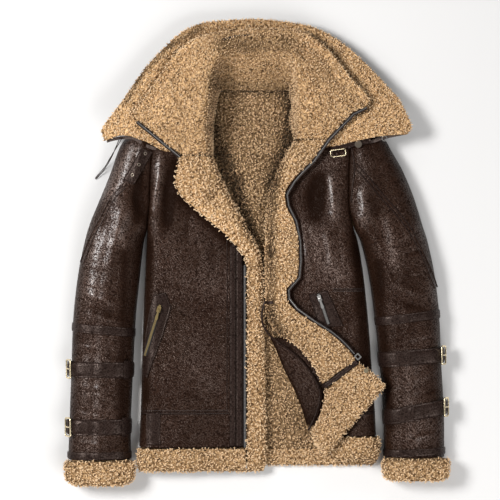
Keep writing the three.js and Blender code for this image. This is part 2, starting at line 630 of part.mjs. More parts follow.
const INNER_COLLAR = table(
  "fx fy fz ax ay az bx by bz cx cy cz nx ny nz",
  [-226, 251, 69, -145, 185.6, 63, -99, 185.4, 61, -89, 185.4, 44, -85, 185.4, 11],
  [-233.7, 266.4, 69, -164, 235.6, 74, -102.6, 232, 80, -91, 234, 52, -84, 236, 11],
  [-210.7, 294.5, 66, -153, 277, 73, -99.8, 266, 82, -87, 270, 54, -79, 273.6, 11],
  [-185, 332.5, 62, -138, 319, 71, -93, 306, 82, -82, 307, 52, -73, 303, 11],
  [-157, 375.8, 56, -120.6, 365, 66, -84.5, 353.4, 80, -75, 334, 50, -66, 308, 18],
  [-126.7, 401.3, 52, -99.8, 395, 61, -71, 384, 74, -62, 350, 46, -52, 308, 16],
  [-91, 414, 50, -69, 408.5, 56, -44.7, 399, 66, -35, 355, 40, -29.5, 308, 16],
  [-1, 422.8, 50, -1, 416, 54, -1, 406.6, 60, -1, 357, 38, -1, 308, 16],
  [61.8, 422, 50, 50, 414, 56, 37, 401, 66, 33, 355, 40, 29.5, 308, 16],
  [95.8, 413.8, 52, 75, 401, 61, 58, 385.7, 74, 52, 350, 46, 46, 308, 16],
  [144, 370, 56, 105.5, 365, 66, 71, 357, 80, 62, 336, 50, 54, 308, 16],
  [170.8, 333.8, 62, 120.6, 325, 71, 73, 315.4, 82, 63.6, 311.6, 54, 56, 304, 11],
  [207, 290, 68, 139.6, 285, 74, 79, 277.4, 82, 68.4, 279, 54, 60, 279, 11],
  [204, 276, 68, 137, 270, 74, 78.5, 263, 81, 67.5, 265, 54, 59, 265, 11],
  [177.6, 264, 68, 126, 252.7, 73, 77, 247, 80, 66, 249, 54, 58, 249, 11],
  [129, 213.2, 63, 104, 213.2, 64, 80, 213.2, 62, 70, 213.2, 44, 66, 213.2, 11],
);

// Five places of a station joined by a smooth line; thickness is laid off by `under` at each place.
function collarWall(rows, perRow, perPlace, under) {
  const places = ["f", "a", "b", "c", "n"];
  const grid = (shifted) => {
    const lines = rows.map((row) =>
      places.map((p, k) => {
        const point = new THREE.Vector3(row[p + "x"], row[p + "y"], row[p + "z"]);
        const away = new THREE.Vector3(row.bx - row.nx, row.by - row.ny, 0).normalize();
        const { down, out } = under[k];
        return shifted ? point.addScaledVector(away, out).add(new THREE.Vector3(0, 0, -down)) : point;
      }),
    );
    const across = lines.map((line) => new THREE.CatmullRomCurve3(line, false, "centripetal"));
    const lastPlace = (places.length - 1) * perPlace;
    const fine = across.map((curve) =>
      Array.from({ length: lastPlace + 1 }, (_, j) => curve.getPoint(j / lastPlace)),
    );
    const down = fine[0].map(
      (_, j) => new THREE.CatmullRomCurve3(fine.map((line) => line[j]), false, "centripetal"),
    );
    const lastRow = (rows.length - 1) * perRow;
    return Array.from({ length: lastRow + 1 }, (_, i) => down.map((curve) => curve.getPoint(i / lastRow)));
  };
  return wall(grid(false), grid(true));
}
const FLAT_UNDER = Array(5).fill({ down: COLLAR, out: 0 });
const STAND_UNDER = [
  { down: COLLAR, out: 0 },
  { down: COLLAR, out: 0 },
  { down: 8, out: 5 },
  { down: 2, out: COLLAR },
  { down: 0, out: COLLAR },
];
add("collar_outer", collarWall(OUTER_COLLAR, 1, 2, FLAT_UNDER), WOOL);
add("collar_inner", collarWall(INNER_COLLAR, 2, 2, STAND_UNDER), WOOL);

// Bands and buckled straps of the sleeves.
add("elbow_band_right", strapOn(SLEEVE_RIGHT, -142.5, -153.9, 16, 1.4), TRIM);
add("elbow_band_left", strapOn(SLEEVE_LEFT, -132.5, -118, 16, 1.4), TRIM);
add("cuff_strip_right", strapOn(SLEEVE_RIGHT, -387, -387, 13, 1.6), TRIM);
add("cuff_strip_left", strapOn(SLEEVE_LEFT, -383, -379, 13, 1.6), TRIM);
const STRAPS = table(
  "name sleeve yLeft yRight doubled",
  ["upper_strap_right", SLEEVE_RIGHT, -222.5, -225, -1],
  ["lower_strap_right", SLEEVE_RIGHT, -333, -332.5, -1],
  ["upper_strap_left", SLEEVE_LEFT, -205, -196, 1],
  ["lower_strap_left", SLEEVE_LEFT, -315, -294.5, 1],
);
for (const { name, sleeve, yLeft, yRight, doubled } of STRAPS) {
  add(name, strapOn(sleeve, yLeft, yRight, STRAP_WIDTH, STRAP_THICK, LIFT, 0, 1, doubled), TRIM);
}
// Keepers at the inner end of the right sleeve's straps.
const KEEPER_FROM = 0.86;
add("upper_keeper_right", strapOn(SLEEVE_RIGHT, -223, -224.8, 37, 1.6, 3.5, KEEPER_FROM, 0.93), TRIM);
add("lower_keeper_right", strapOn(SLEEVE_RIGHT, -333, -332.6, 37, 1.6, 3.5, KEEPER_FROM, 0.93), TRIM);

// Buckle frames with their prong, fastened on the straps at the sleeves' outer sides.
const BUCKLE = { tall: 38, wide: 23, bar: 3.6, prong: 2.6, thick: 2.6, corner: 4 };
function roundedBox(path, x0, y0, x1, y1, r) {
  path.moveTo(x0 + r, y0);
  path.lineTo(x1 - r, y0);
  path.absarc(x1 - r, y0 + r, r, -Math.PI / 2, 0);
  path.lineTo(x1, y1 - r);
  path.absarc(x1 - r, y1 - r, r, 0, Math.PI / 2);
  path.lineTo(x0 + r, y1);
  path.absarc(x0 + r, y1 - r, r, Math.PI / 2, Math.PI);
  path.lineTo(x0, y0 + r);
  path.absarc(x0 + r, y0 + r, r, Math.PI, Math.PI * 1.5);
  return path;
}
function buckleShape({ tall, wide, bar, prong, corner }) {
  const shape = roundedBox(new THREE.Shape(), -wide / 2, -tall / 2, wide / 2, tall / 2, corner);
  const [x, y] = [wide / 2 - bar, tall / 2 - bar];
  const windows = prong ? [[prong / 2, y], [-y, -prong / 2]] : [[-y, y]];
  for (const [low, high] of windows) {
    shape.holes.push(roundedBox(new THREE.Path(), -x, low, x, high, Math.min(corner / 3, 1.4)));
  }
  return shape;
}
const plate = (shape, thick, round = 2) =>
  new THREE.ExtrudeGeometry(shape, { depth: thick, bevelEnabled: false, curveSegments: round });

// Sets a mesh down on a surface: its own z along the normal, its own y along the given direction.
function seat(mesh, point, normal, along, lift) {
  const y = along.clone().addScaledVector(normal, -along.dot(normal)).normalize();
  const x = new THREE.Vector3().crossVectors(y, normal);
  mesh.matrix.makeBasis(x, y, normal).setPosition(point.clone().addScaledVector(normal, lift));
  mesh.matrix.decompose(mesh.position, mesh.quaternion, mesh.scale);
  return mesh;
}
const BUCKLES = table(
  "name sleeve y fromEnd atRight",
  ["upper_buckle_right", SLEEVE_RIGHT, -222.6, 4.5, false],
  ["lower_buckle_right", SLEEVE_RIGHT, -333, 7, false],
  ["upper_buckle_left", SLEEVE_LEFT, -196.2, 4.5, true],
  ["lower_buckle_left", SLEEVE_LEFT, -295, 4.5, true],
);
for (const { name, sleeve, y, fromEnd, atRight } of BUCKLES) {
  const row = rowAt(sleeve, y);
  const { point, normal } = surfaceAt(sleeve, row, atRight ? row.bx - row.ax - fromEnd : fromEnd);
  const mesh = add(name, plate(buckleShape(BUCKLE), BUCKLE.thick), METAL);
  seat(mesh, point, normal, new THREE.Vector3(0, 1, 0), LIFT + STRAP_THICK + FOLDED + 0.6);
}

// Trims on the right front: two raised strips beside the zip, and the tab on the waistband.
const strip = (left, right, top, low, rows, columns = 1) =>
  between([[left, top], [left, low]], [[right, top], [right, low]], columns, rows);
const onFrontRight = { ...FRONT_RIGHT, rows: [...FRONT_RIGHT.rows, ...WAISTBAND_RIGHT.rows.slice(1)] };
add("placket_strip_outer", patch(onFrontRight, strip(-54, -44.5, 14, -370, 16), 2, 0.5), TRIM);
add("placket_strip_inner", patch(onFrontRight, strip(-42, -32.5, 6, -370, 16), 2, 0.5), TRIM);
add("waist_tab_right", patch(onFrontRight, strip(-212, -187, -303, -366, 6, 5), 2.6, 0.8), TRIM);

// Pockets: a leather frame round each zip.
const POCKET_RIGHT = { top: [-187, -101], low: [-213, -196] };
const POCKET_LEFT = { top: [114, -80], low: [133, -136] };
const framePlanRight = between(
  [[-199, -84], [-204, -100], [-209, -125], [-213, -152], [-215.5, -180], [-217, -208], [-218, -238]],
  [[-178, -77], [-167, -104], [-173, -125], [-181, -152], [-191, -180], [-201, -208], [-211, -238]],
  4, 12,
);
add("pocket_frame_right", patch(FRONT_RIGHT, framePlanRight, 1.5, 0.6), TRIM);
const framePlanLeft = between(
  [[97, -82], [104, -105], [111, -129], [117, -143]],
  [[130, -74], [141, -98], [152, -122], [160, -140]],
  3, 6,
);
add("pocket_frame_left", patch(FRONT_LEFT, framePlanLeft, 1.5, 0.6), TRIM);
function zipPlan({ top, low }, half) {
  return between([[top[0] - half, top[1]], [low[0] - half, low[1]]],
    [[top[0] + half, top[1]], [low[0] + half, low[1]]], 1, 8);
}
add("pocket_zip_right", patch(FRONT_RIGHT, zipPlan(POCKET_RIGHT, 3.4), 1.2, 2.5), METAL);
add("pocket_zip_left", patch(FRONT_LEFT, zipPlan(POCKET_LEFT, 3.4), 1.2, 2.5), METAL);

// Pocket sliders with a pull tab that swings on a cross pin.
const SLIDER = { half: 3.6, back: 5.5, thick: 2.4, ear: 0.9, earGap: 2.3, pin: 0.75, pinRise: 1.9 };
const PULL = { bore: 1, knuckle: 1.6, length: 21, neck: 1.4, wide: 2.9, thick: 1.2, half: 1.95, droop: 10 };
const SLIDER_LIFT = 4; // above the leather, just over the zip
const { Manifold, CrossSection } = wasm;
function geometryOf(body) {
  const { vertProperties, triVerts } = body.getMesh();
  const geometry = new THREE.BufferGeometry();
  geometry.setAttribute("position", new THREE.BufferAttribute(vertProperties, 3));
  geometry.setIndex(new THREE.BufferAttribute(triVerts, 1));
  geometry.computeVertexNormals();
  return geometry;
}
const boxAt = (x, y, z, cx, cy, cz) => Manifold.cube([x, y, z], true).translate([cx, cy, cz]);
const acrossX = (radius, half, sides) =>
  Manifold.cylinder(2 * half, radius, radius, sides, true).rotate([0, 90, 0]);
function sliderBody() {
  const { half, back, thick, ear, earGap, pin, pinRise } = SLIDER;
  const earHigh = pinRise + 1.3;
  let body = boxAt(2 * half, 2 * back, thick, 0, 0, thick / 2);
  for (const side of [-1, 1]) {
    const place = [side * (earGap + ear / 2), 0, thick - 0.1 + earHigh / 2];
    body = body.add(boxAt(ear, 3, earHigh, ...place));
  }
  const bar = acrossX(pin, earGap + ear / 2, 10).translate([0, 0, thick + pinRise]);
  return geometryOf(body.add(bar));
}
function pullBody() {
  const { bore, knuckle, length, neck, wide, thick, half } = PULL;
  const end = Array.from({ length: 7 }, (_, k) => {
    const angle = Math.PI + (k / 6) * Math.PI;
    return [wide * Math.cos(angle), -length + wide + wide * Math.sin(angle)];
  });
  const outline = [[-half, -0.4], [-neck, -5], ...end, [neck, -5], [half, -0.4]];
  const tongue = new CrossSection([outline]).extrude(thick).translate([0, 0, -thick / 2]);
  return geometryOf(acrossX(knuckle, half, 12).add(tongue).subtract(acrossX(bore, half + 1, 12)));
}
for (const { side, band, pocket } of [
  { side: "right", band: FRONT_RIGHT, pocket: POCKET_RIGHT },
  { side: "left", band: FRONT_LEFT, pocket: POCKET_LEFT },
]) {
  const [[x0, y0], [x1, y1]] = [pocket.top, pocket.low];
  const up = new THREE.Vector3(x0 - x1, y0 - y1, 0).normalize();
  const [x, y] = [x0 - up.x * 8, y0 - up.y * 8];
  const reach = 4;
  const slopeX = (heightAt(band, x + reach, y) - heightAt(band, x - reach, y)) / (2 * reach);
  const slopeY = (heightAt(band, x, y + reach) - heightAt(band, x, y - reach)) / (2 * reach);
  const normal = new THREE.Vector3(-slopeX, -slopeY, 1).normalize();
  const point = new THREE.Vector3(x, y, heightAt(band, x, y));
  seat(add("pocket_slider_" + side, sliderBody(), METAL), point, normal, up, SLIDER_LIFT);
  const pinHigh = SLIDER_LIFT + SLIDER.thick + SLIDER.pinRise;
  const tab = seat(add("pocket_pull_" + side, pullBody(), METAL), point, normal, up, pinHigh);
  tab.rotateX(THREE.MathUtils.degToRad(PULL.droop));
}

// Main zip: a tape down the right front, and one round the free edge of the turned left facing.
const tapeRight = between([[-29.1, -26], [-29.1, -371]], [[-23.9, -26], [-22.9, -371]], 1, 12);
const level = (z) => tapeRight.map((line) => line.map(([x, y]) => new THREE.Vector3(x, y, z)));
add("zip_tape_right", wall(level(31.5), level(27)), TRIM);
const collarEdge = [[203, 275.5, 62], [177.6, 263, 62], [150, 234.4, 61], [131, 214.5, 59]];
const facingEdge = FACING_LEFT.rows.map((row) => [row.bx, row.by, row.zRight - 3.2]);
const edgeLeft = [...collarEdge, ...facingEdge.slice(1, -1)].map((place) => new THREE.Vector3(...place));
add("zip_tape_left", ribbon(edgeLeft, -5.6, 4.8, 3), TRIM);
const edgeRight = [[-226, 250, 62], [-185.5, 217, 62], [-146, 184.6, 62]].map((place) => new THREE.Vector3(...place));
add("zip_tape_collar_right", ribbon(edgeRight, 3.2, 4.8, 3), TRIM);

// Where the turned facing meets the hem: a stitched strap, the zip's retainer, a snap and a tab.
const seamStrap = [[123.7, -255.6, 54], [186.6, -207.4, 57.5]].map((place) => new THREE.Vector3(...place));
add("corner_strap_left", ribbon(seamStrap, -3.8, 7.6, 4), TRIM);
const zipWay = new THREE.Vector3(-0.66, 0.75, 0);
const upward = new THREE.Vector3(0, 0, 1);
const RETAINER = { tall: 11, wide: 10, bar: 2.2, prong: 0, corner: 1.2 };
const retainer = add("zip_retainer_left", plate(buckleShape(RETAINER), 4), METAL);
seat(retainer, new THREE.Vector3(187.9, -198, 54), upward, zipWay, 0);
const disc = (radius, thick, sides) => new THREE.CylinderGeometry(radius, radius, thick, sides);
const cornerSnap = add("corner_snap_left", disc(4.6, 2, 12).rotateX(Math.PI / 2), METAL);
cornerSnap.position.set(203, -224, 63.6);
add("fold_tab_left", strapOn(FACING_LEFT, 12.3, 12.3, 0.26, 1.6, LIFT, 0.03, 0.36), TRIM);

// Collar fittings: eyelet tab, throat strap with its open buckle, snap and ring, and a thong.
const eyeletPlan = between([[-221, 196], [-255.5, 137]], [[-202.5, 190], [-237, 129]], 3, 6);
add("eyelet_tab_right", patch(SLEEVE_RIGHT, eyeletPlan, 1.6), TRIM);
const flatPath = (z, ...places) => places.map(([x, y]) => new THREE.Vector3(x, y, z));
const strapPath = flatPath(50, [138, 195.3], [160, 200], [183, 205.2], [213, 211.3]);
add("throat_strap_left", ribbon(strapPath, -4, 8.5, 1.8), TRIM);
const THROAT_BUCKLE = { tall: 31, wide: 15, bar: 2.3, prong: 0, corner: 3 };
const tilted = new THREE.Vector3(1, 0.14, 0).normalize();
const throatBuckle = add("throat_buckle_left", plate(buckleShape(THROAT_BUCKLE), 2.2), METAL);
seat(throatBuckle, new THREE.Vector3(151, 188, 50.6), upward, tilted, 0);
const snap = add("throat_snap_left", disc(6.8, 2, 14).rotateX(Math.PI / 2), METAL);
snap.position.set(189, 204.2, 51.4);
const ringShape = new THREE.Shape().absarc(0, 0, 5.6, 0, 2 * Math.PI);
ringShape.holes.push(new THREE.Path().absarc(0, 0, 3.9, 0, 2 * Math.PI));
const throatRing = add("throat_ring_left", plate(ringShape, 1.6, 7), METAL);
throatRing.position.set(239, 215.4, 46.6);
const thongPath = [
  [-262, 218.6, 51], [-283, 176, 22], [-302, 150, 6], [-312.5, 140.5, 1.9],
  [-311, 144, 1.9], [-296, 161, 6], [-279, 186, 22], [-257, 218.6, 51],
].map((place) => new THREE.Vector3(...place));
add("collar_thong_right", ribbon(thongPath, -0.8, 1.6, 1.8), TRIM);

// The origin is under the middle of the coat's own box.
const box = new THREE.Box3().setFromObject(coat);
const middle = box.getCenter(new THREE.Vector3()).setZ(0);
for (const mesh of coat.children) mesh.position.sub(middle);

export default coat;
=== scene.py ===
"""Looks of a shearling coat laid out open: pebbled leather, curly wool, zips, straps and buckles.

Sizes are in millimetres in the tables and become metres when a mesh is made.
"right" and "left" are the wearer's sides, so the right front lies at -X.
"""
import math

import bpy
import numpy as np
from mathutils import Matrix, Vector


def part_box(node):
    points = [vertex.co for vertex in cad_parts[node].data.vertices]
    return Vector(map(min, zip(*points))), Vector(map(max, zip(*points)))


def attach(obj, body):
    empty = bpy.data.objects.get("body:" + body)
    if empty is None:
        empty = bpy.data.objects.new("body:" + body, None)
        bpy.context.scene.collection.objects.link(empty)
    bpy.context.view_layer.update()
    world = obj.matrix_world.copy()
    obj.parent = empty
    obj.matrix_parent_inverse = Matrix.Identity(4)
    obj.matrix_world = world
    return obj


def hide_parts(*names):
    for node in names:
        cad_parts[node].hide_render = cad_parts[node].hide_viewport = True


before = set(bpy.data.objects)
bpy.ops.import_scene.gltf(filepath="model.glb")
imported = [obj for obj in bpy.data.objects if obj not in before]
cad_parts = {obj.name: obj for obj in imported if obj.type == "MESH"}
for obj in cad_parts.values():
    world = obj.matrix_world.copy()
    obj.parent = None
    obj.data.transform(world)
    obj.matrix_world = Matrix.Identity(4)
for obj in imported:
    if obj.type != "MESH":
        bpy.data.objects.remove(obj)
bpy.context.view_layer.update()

MM = 0.001
PANEL = 8
BACK = 10
FACING = 9
COLLAR = 9
HEM = 11
HEM_BACK = 12
ON_BACK = BACK + 0.3
ON_HEM = HEM_BACK + 0.5
STRAP_WIDTH = 29
STRAP_THICK = 2.4
FOLDED = 4  # how much thicker a strap is where it is folded round its buckle's bar
CUFF_HIGH = 57
LIFT = 0.7
THONG_THICK = 1.6
PILE = 3.2  # depth of the curls, whose tips reach the solids' surface
YOKE_SEAM = 187

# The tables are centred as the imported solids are.
FRONT_EDGE = -29.5
NECK_SEAM = 307.6
PACKED_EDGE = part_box("front_right")[1][0] / MM
PACKED_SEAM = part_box("back_yoke")[1][1] / MM
SHIFT = np.array([PACKED_EDGE - FRONT_EDGE, PACKED_SEAM - NECK_SEAM, 0.0])


def table(columns, *rows):
    names = columns.split()
    return {name: np.array([row[k] for row in rows], float) for k, name in enumerate(names)}


def read(rows, along, column, at):
    """A column read smoothly at places along another column, never past its own values."""
    x, y, at = rows[along], rows[column], np.asarray(at, float)
    if x[0] > x[-1]:
        x, y = x[::-1], y[::-1]
    secant = np.diff(y) / np.diff(x)
    product = secant[:-1] * secant[1:]
    total = np.where(product > 0, secant[:-1] + secant[1:], 1.0)
    slope = np.concatenate([secant[:1], np.where(product > 0, 2 * product / total, 0.0), secant[-1:]])
    k = np.clip(np.searchsorted(x, at, side="right") - 1, 0, len(x) - 2)
    span = x[k + 1] - x[k]
    t = np.clip((at - x[k]) / span, 0, 1)
    p, q, m, n = y[k], y[k + 1], slope[k] * span, slope[k + 1] * span
    return p + t * m + t**2 * (3 * (q - p) - 2 * m - n) + t**3 * (2 * (p - q) + m + n)


def unit(vectors):
    """Vectors made one long."""
    return vectors / np.maximum(np.linalg.norm(vectors, axis=-1, keepdims=True), 1e-9)


def lattice_noise(x, y, size, seed):
    """Smooth noise between -1 and 1 with features of a size, the same on each run."""
    grid = np.random.default_rng(seed).uniform(-1, 1, (256, 256))
    u, v = np.asarray(x) / size + 500, np.asarray(y) / size + 500
    i, j = np.floor(u).astype(int), np.floor(v).astype(int)
    a, b = u - i, v - j
    a, b = a * a * (3 - 2 * a), b * b * (3 - 2 * b)
    i0, i1, j0, j1 = i % 256, (i + 1) % 256, j % 256, (j + 1) % 256
    low = grid[i0, j0] * (1 - a) + grid[i1, j0] * a
    high = grid[i0, j1] * (1 - a) + grid[i1, j1] * a
    return low * (1 - b) + high * b


# Soft ridges and troughs of the leather: the solids' large folds, then the smaller creases.
FOLDS = table(
    "x0 y0 x1 y1 half height",
    (-183, 182, -198, 80, 9, 7),
    (-170, 150, -176, 40, 8, -4),
    (-236, 120, -214, 60, 10, -5),
    (-258, 92, -272, 20, 12, 5),
    (-332, -78, -262, -100, 7, 2.5),
    (-330, -104, -266, -122, 6, -2.5),
    (140, 140, 146, 60, 10, 6),
    (112, 150, 106, 70, 14, -6),
    (196, 120, 204, 50, 9, 5),
    (222, 96, 246, 10, 10, -3),
    (252, -62, 318, -84, 7, 2.5),
    (256, -92, 322, -110, 6, -2.5),
)
CREASES = table(
    "x0 y0 x1 y1 half height",
    (-150, 120, -158, 30, 5, 1.4),
    (-128, 100, -140, 10, 6, -1.6),
    (-205, 60, -196, -10, 4, 1.4),
    (-120, 60, -96, -30, 7, 1.2),
    (-90, 30, -84, -60, 6, -1.2),
    (-200, -20, -150, -46, 4, 1.0),
    (-190, -62, -120, -70, 5, -1.0),
    (-168, -150, -110, -170, 5, 1.0),
    (-120, -220, -76, -260, 6, 1.0),
    (-150, -262, -96, -284, 4, -1.2),
    (-70, -120, -60, -230, 5, 1.1),
    (-345, 0, -290, -22, 4, 1.5),
    (-342, -30, -280, -40, 4, -1.5),
    (-338, -56, -300, -66, 3, 1.4),
    (-300, -124, -262, -134, 3, 1.5),
    (-348, -176, -300, -186, 4, 1.3),
    (-300, -190, -256, -204, 3, -1.3),
    (-352, -250, -296, -262, 4, 1.4),
    (-310, -270, -262, -286, 3, 1.4),
    (-350, -296, -300, -306, 3, -1.4),
    (-350, -360, -290, -366, 3, 1.3),
    (-262, 60, -246, -10, 4, 1.6),
    (-292, 66, -306, 10, 4, -1.6),
    (-282, 130, -300, 90, 4, 1.2),
    (158, 40, 166, -40, 6, 1.6),
    (120, 30, 138, -30, 6, -1.4),
    (84, 44, 98, -46, 9, 3.4),
    (128, 46, 142, -44, 8, 2.4),
    (182, -30, 150, -60, 4, 1.0),
    (196, -110, 170, -180, 5, 1.4),
    (204, -200, 190, -270, 4, -1.2),
    (214, 40, 236, 0, 4, 1.5),
    (300, 40, 262, 24, 4, 1.5),
    (318, 6, 268, -10, 4, -1.5),
    (328, -34, 280, -44, 3, 1.5),
    (240, -30, 262, -70, 4, 1.3),
    (336, -156, 286, -166, 3, 1.4),
    (300, -172, 250, -184, 3, -1.4),
    (340, -226, 290, -246, 4, 1.4),
    (296, -250, 246, -268, 3, 1.4),
    (342, -262, 300, -274, 3, -1.2),
    (340, -344, 280, -356, 3, 1.4),
)


# Painted sheen and painted shade on the hide: lines painted brighter where the amount is positive, darker
# where it is negative.
PAINTED_SHEENS = table(
    "x0 y0 x1 y1 half amount",
    (-186, 175, -198, 84, 7, 0.5),
    (-160, 165, -168, 60, 17, -0.4),
    (-120, 60, -80, -60, 34, 0.25),
    (-150, -90, -100, -260, 36, 0.14),
    (-205, 20, -212, -280, 8, -0.25),
    (-240, 190, -285, 112, 13, 0.65),
    (-256, 72, -268, 24, 14, 0.55),
    (-300, 30, -318, -70, 20, 0.45),
    (-225, 150, -232, 60, 9, -0.4),
    (-254, 0, -262, -330, 10, -0.3),
    (-310, -180, -316, -360, 20, 0.25),
    (142, 135, 146, 70, 9, 0.65),
    (120, 140, 110, 70, 12, -0.35),
    (100, 30, 150, -40, 22, 0.4),
    (196, 118, 204, 60, 8, 0.35),
    (194, 70, 189, 20, 6, 0.4),
    (182, 40, 200, -240, 9, -0.3),
    (234, 60, 262, -20, 15, 0.45),
    (300, 40, 330, -90, 14, 0.3),
    (228, -20, 252, -330, 9, -0.3),
    (290, -180, 296, -360, 20, 0.24),
)
# Lines beside which the leather is shaded, with their half widths.
SHADED = (
    ([(-100, 186), (-158, 150), (-160, 128), (-150, 104), (-128, 82), (-98, 56), (-72, 32), (-46, 8),
      (-34, -10)], 9),
    ([(-216, 215), (-160, 205), (-120, 192)], 13),
    ([(100, 205), (140, 205), (180, 208), (216, 214)], 12),
    ([(66, 137), (50, 112), (53, 86), (68, 57), (77, 20), (79, -16), (76, -47), (57, -80), (72, -112),
      (105, -136), (140, -158)], 8),
)


def ridges(lines, x, y):
    x, y = np.broadcast_arrays(np.asarray(x, float), np.asarray(y, float))
    lift = np.zeros_like(x)
    for x0, y0, x1, y1, half, height in zip(*lines.values()):
        dx, dy = x1 - x0, y1 - y0
        t = ((x - x0) * dx + (y - y0) * dy) / (dx * dx + dy * dy)
        near = np.clip(t, 0, 1)
        away = np.hypot(x - x0 - near * dx, y - y0 - near * dy) / half
        fade = np.sin(np.pi * np.clip(t, 0.06, 0.94)) ** 0.7
        lift += height * fade * np.exp(-away * away)
    return lift


def relief(x, y):
    """Height that folds, creases and the soft hide add to a leather panel."""
    lift = ridges(FOLDS, x, y) + ridges(CREASES, x, y)
    lift = lift + 0.9 * lattice_noise(x, y, 34, 3) + 0.45 * lattice_noise(x, y, 13, 4)
    return lift + 0.22 * lattice_noise(x, y, 6, 5)


PLAIN_COLUMNS = ("rollLeft", "rollRight", "crown", "footLeft", "footRight")  # nought where a table has none


class Band:
    """A band of cloth: sections from its left end to its right end, in rows down the coat."""

    def __init__(self, rows, wall, along="y", soft=0.0, fixed=None, left=None, right=None):
        self.rows = rows
        self.wall = wall
        self.along = along
        self.soft = soft  # share of the leather's relief that it takes
        self.fixed = fixed or {}
        self.limit_left = left
        self.limit_right = right

    def row(self, at):
        at = np.asarray(at, float)
        row = {name: np.zeros_like(at) for name in PLAIN_COLUMNS}
        row.update({name: np.full_like(at, value) for name, value in self.fixed.items()})
        row.update({name: read(self.rows, self.along, name, at) for name in self.rows})
        if self.along == "y":
            left, right = row["left"], row["right"]
            if self.limit_left:
                left = np.maximum(left, self.limit_left(at))
            if self.limit_right:
                right = np.minimum(right, self.limit_right(at))
            row.update(ax=left, ay=at, bx=right, by=at)
        return row

    def surface(self, row, s):
        """Points at distance s along a section, with outward normals."""
        dx, dy = row["bx"] - row["ax"], row["by"] - row["ay"]
        length = np.hypot(dx, dy)
        dx, dy = dx / length, dy / length
        roll_left, roll_right = row["rollLeft"], row["rollRight"]
        u = np.clip((s - roll_left) / np.maximum(length - roll_left - roll_right, 1), 0, 1)
        z = row["zLeft"] + (row["zRight"] - row["zLeft"]) * u * u * (3 - 2 * u)
        z = z + row["crown"] * np.sin(np.pi * u) ** 2
        lean = np.zeros_like(z)
        for side, reach, roll, foot in (
            (-1, s, roll_left, "footLeft"),
            (1, length - s, roll_right, "footRight"),
        ):
            rolled = (roll > 0) & (reach < roll)
            turn = np.arccos(np.clip(1 - reach / np.where(roll > 0, roll, 1), -1, 1))
            drop = z - row[foot]
            z = np.where(rolled, row[foot] + drop * np.sin(turn), z)
            tilt = side * (np.pi / 2 - turn) * np.minimum(1, drop / (1.5 * self.wall))
            lean = np.where(rolled, tilt, lean)
        x, y = row["ax"] + dx * s, row["ay"] + dy * s
        if self.soft:
            z = z + self.soft * relief(x, y) * np.cos(lean) ** 2
        normal = np.stack([dx * np.sin(lean), dy * np.sin(lean), np.cos(lean)], -1)
        return np.stack([x, y, z], -1), normal

    def height(self, x, y):
        row = self.row(np.asarray(y, float))
        return self.surface(row, np.asarray(x, float) - row["ax"])[0][..., 2]

    def grid(self, spacing, inset=0.0):
        """Outer and inner points of the whole band, about a spacing apart."""
        first, last = self.rows[self.along][0], self.rows[self.along][-1]
        coarse = self.row(np.linspace(first, last, 24))
        middle = np.stack([coarse["ax"] + coarse["bx"], coarse["ay"] + coarse["by"]], -1) / 2
        down = np.linalg.norm(np.diff(middle, axis=0), axis=1).sum()
        count = int(down / spacing) + 2
        edge = inset / down
        ats = first + (last - first) * np.linspace(edge, 1 - edge, count)
        row = {name: value[:, None] for name, value in self.row(ats).items()}
        length = np.hypot(row["bx"] - row["ax"], row["by"] - row["ay"])
        bends = [1 + int(1.3 * row[name].max() / spacing) if row[name].max() > 0 else 0
                 for name in ("rollLeft", "rollRight")]
        flat = length - row["rollLeft"] - row["rollRight"]
        plain = int(flat.max() / spacing) + 1
        parts = []
        if bends[0]:
            turn = np.linspace(0, np.pi / 2, bends[0] + 1)[:-1]
            parts.append(row["rollLeft"] * (1 - np.cos(turn)))
        parts.append(row["rollLeft"] + flat * np.linspace(0, 1, plain + 1))
        if bends[1]:
            turn = np.linspace(np.pi / 2, 0, bends[1] + 1)[1:]
            parts.append(length - row["rollRight"] * (1 - np.cos(turn)))
        s = np.concatenate(parts, 1)
        s = np.clip(s, inset, length - inset)
        outer, normal = self.surface(row, s)
        return outer, outer - normal * self.wall


# The panels, each with its edges, heights, feet and rolled edges in rows down the coat
FRONT_RIGHT = Band(table(
    "y left right zLeft zRight footLeft rollLeft",
    (289, -118, -108, 26, 26, ON_BACK, 8),
    (262, -160, -106, 32, 30, ON_BACK, 20),
    (243, -194, -105, 36, 32, 24, 18),
    (228, -198, -105, 40, 33, 36, 8),
    (194, -202, -104, 44, 34, 41, 8),
    (156, -205, -89, 44, 32, 40, 10),
    (99, -207, -62, 44, 30, 38, 14),
    (50, -211.4, -37, 45, 30, 28, 22),
    (20, -213.5, -29.5, 45, 31, ON_BACK, 26),
    (-53, -217, -29.5, 45, 31, ON_BACK, 27),
    (-129, -220, -29.5, 45, 31, ON_BACK, 27),
    (-205, -222.5, -29.5, 45, 31, ON_BACK, 27),
    (-262, -224, -29.5, 45, 31, ON_BACK, 27),
    (-308, -225.5, -29.5, 45, 31, ON_BACK, 27),
), PANEL, soft=1.0)
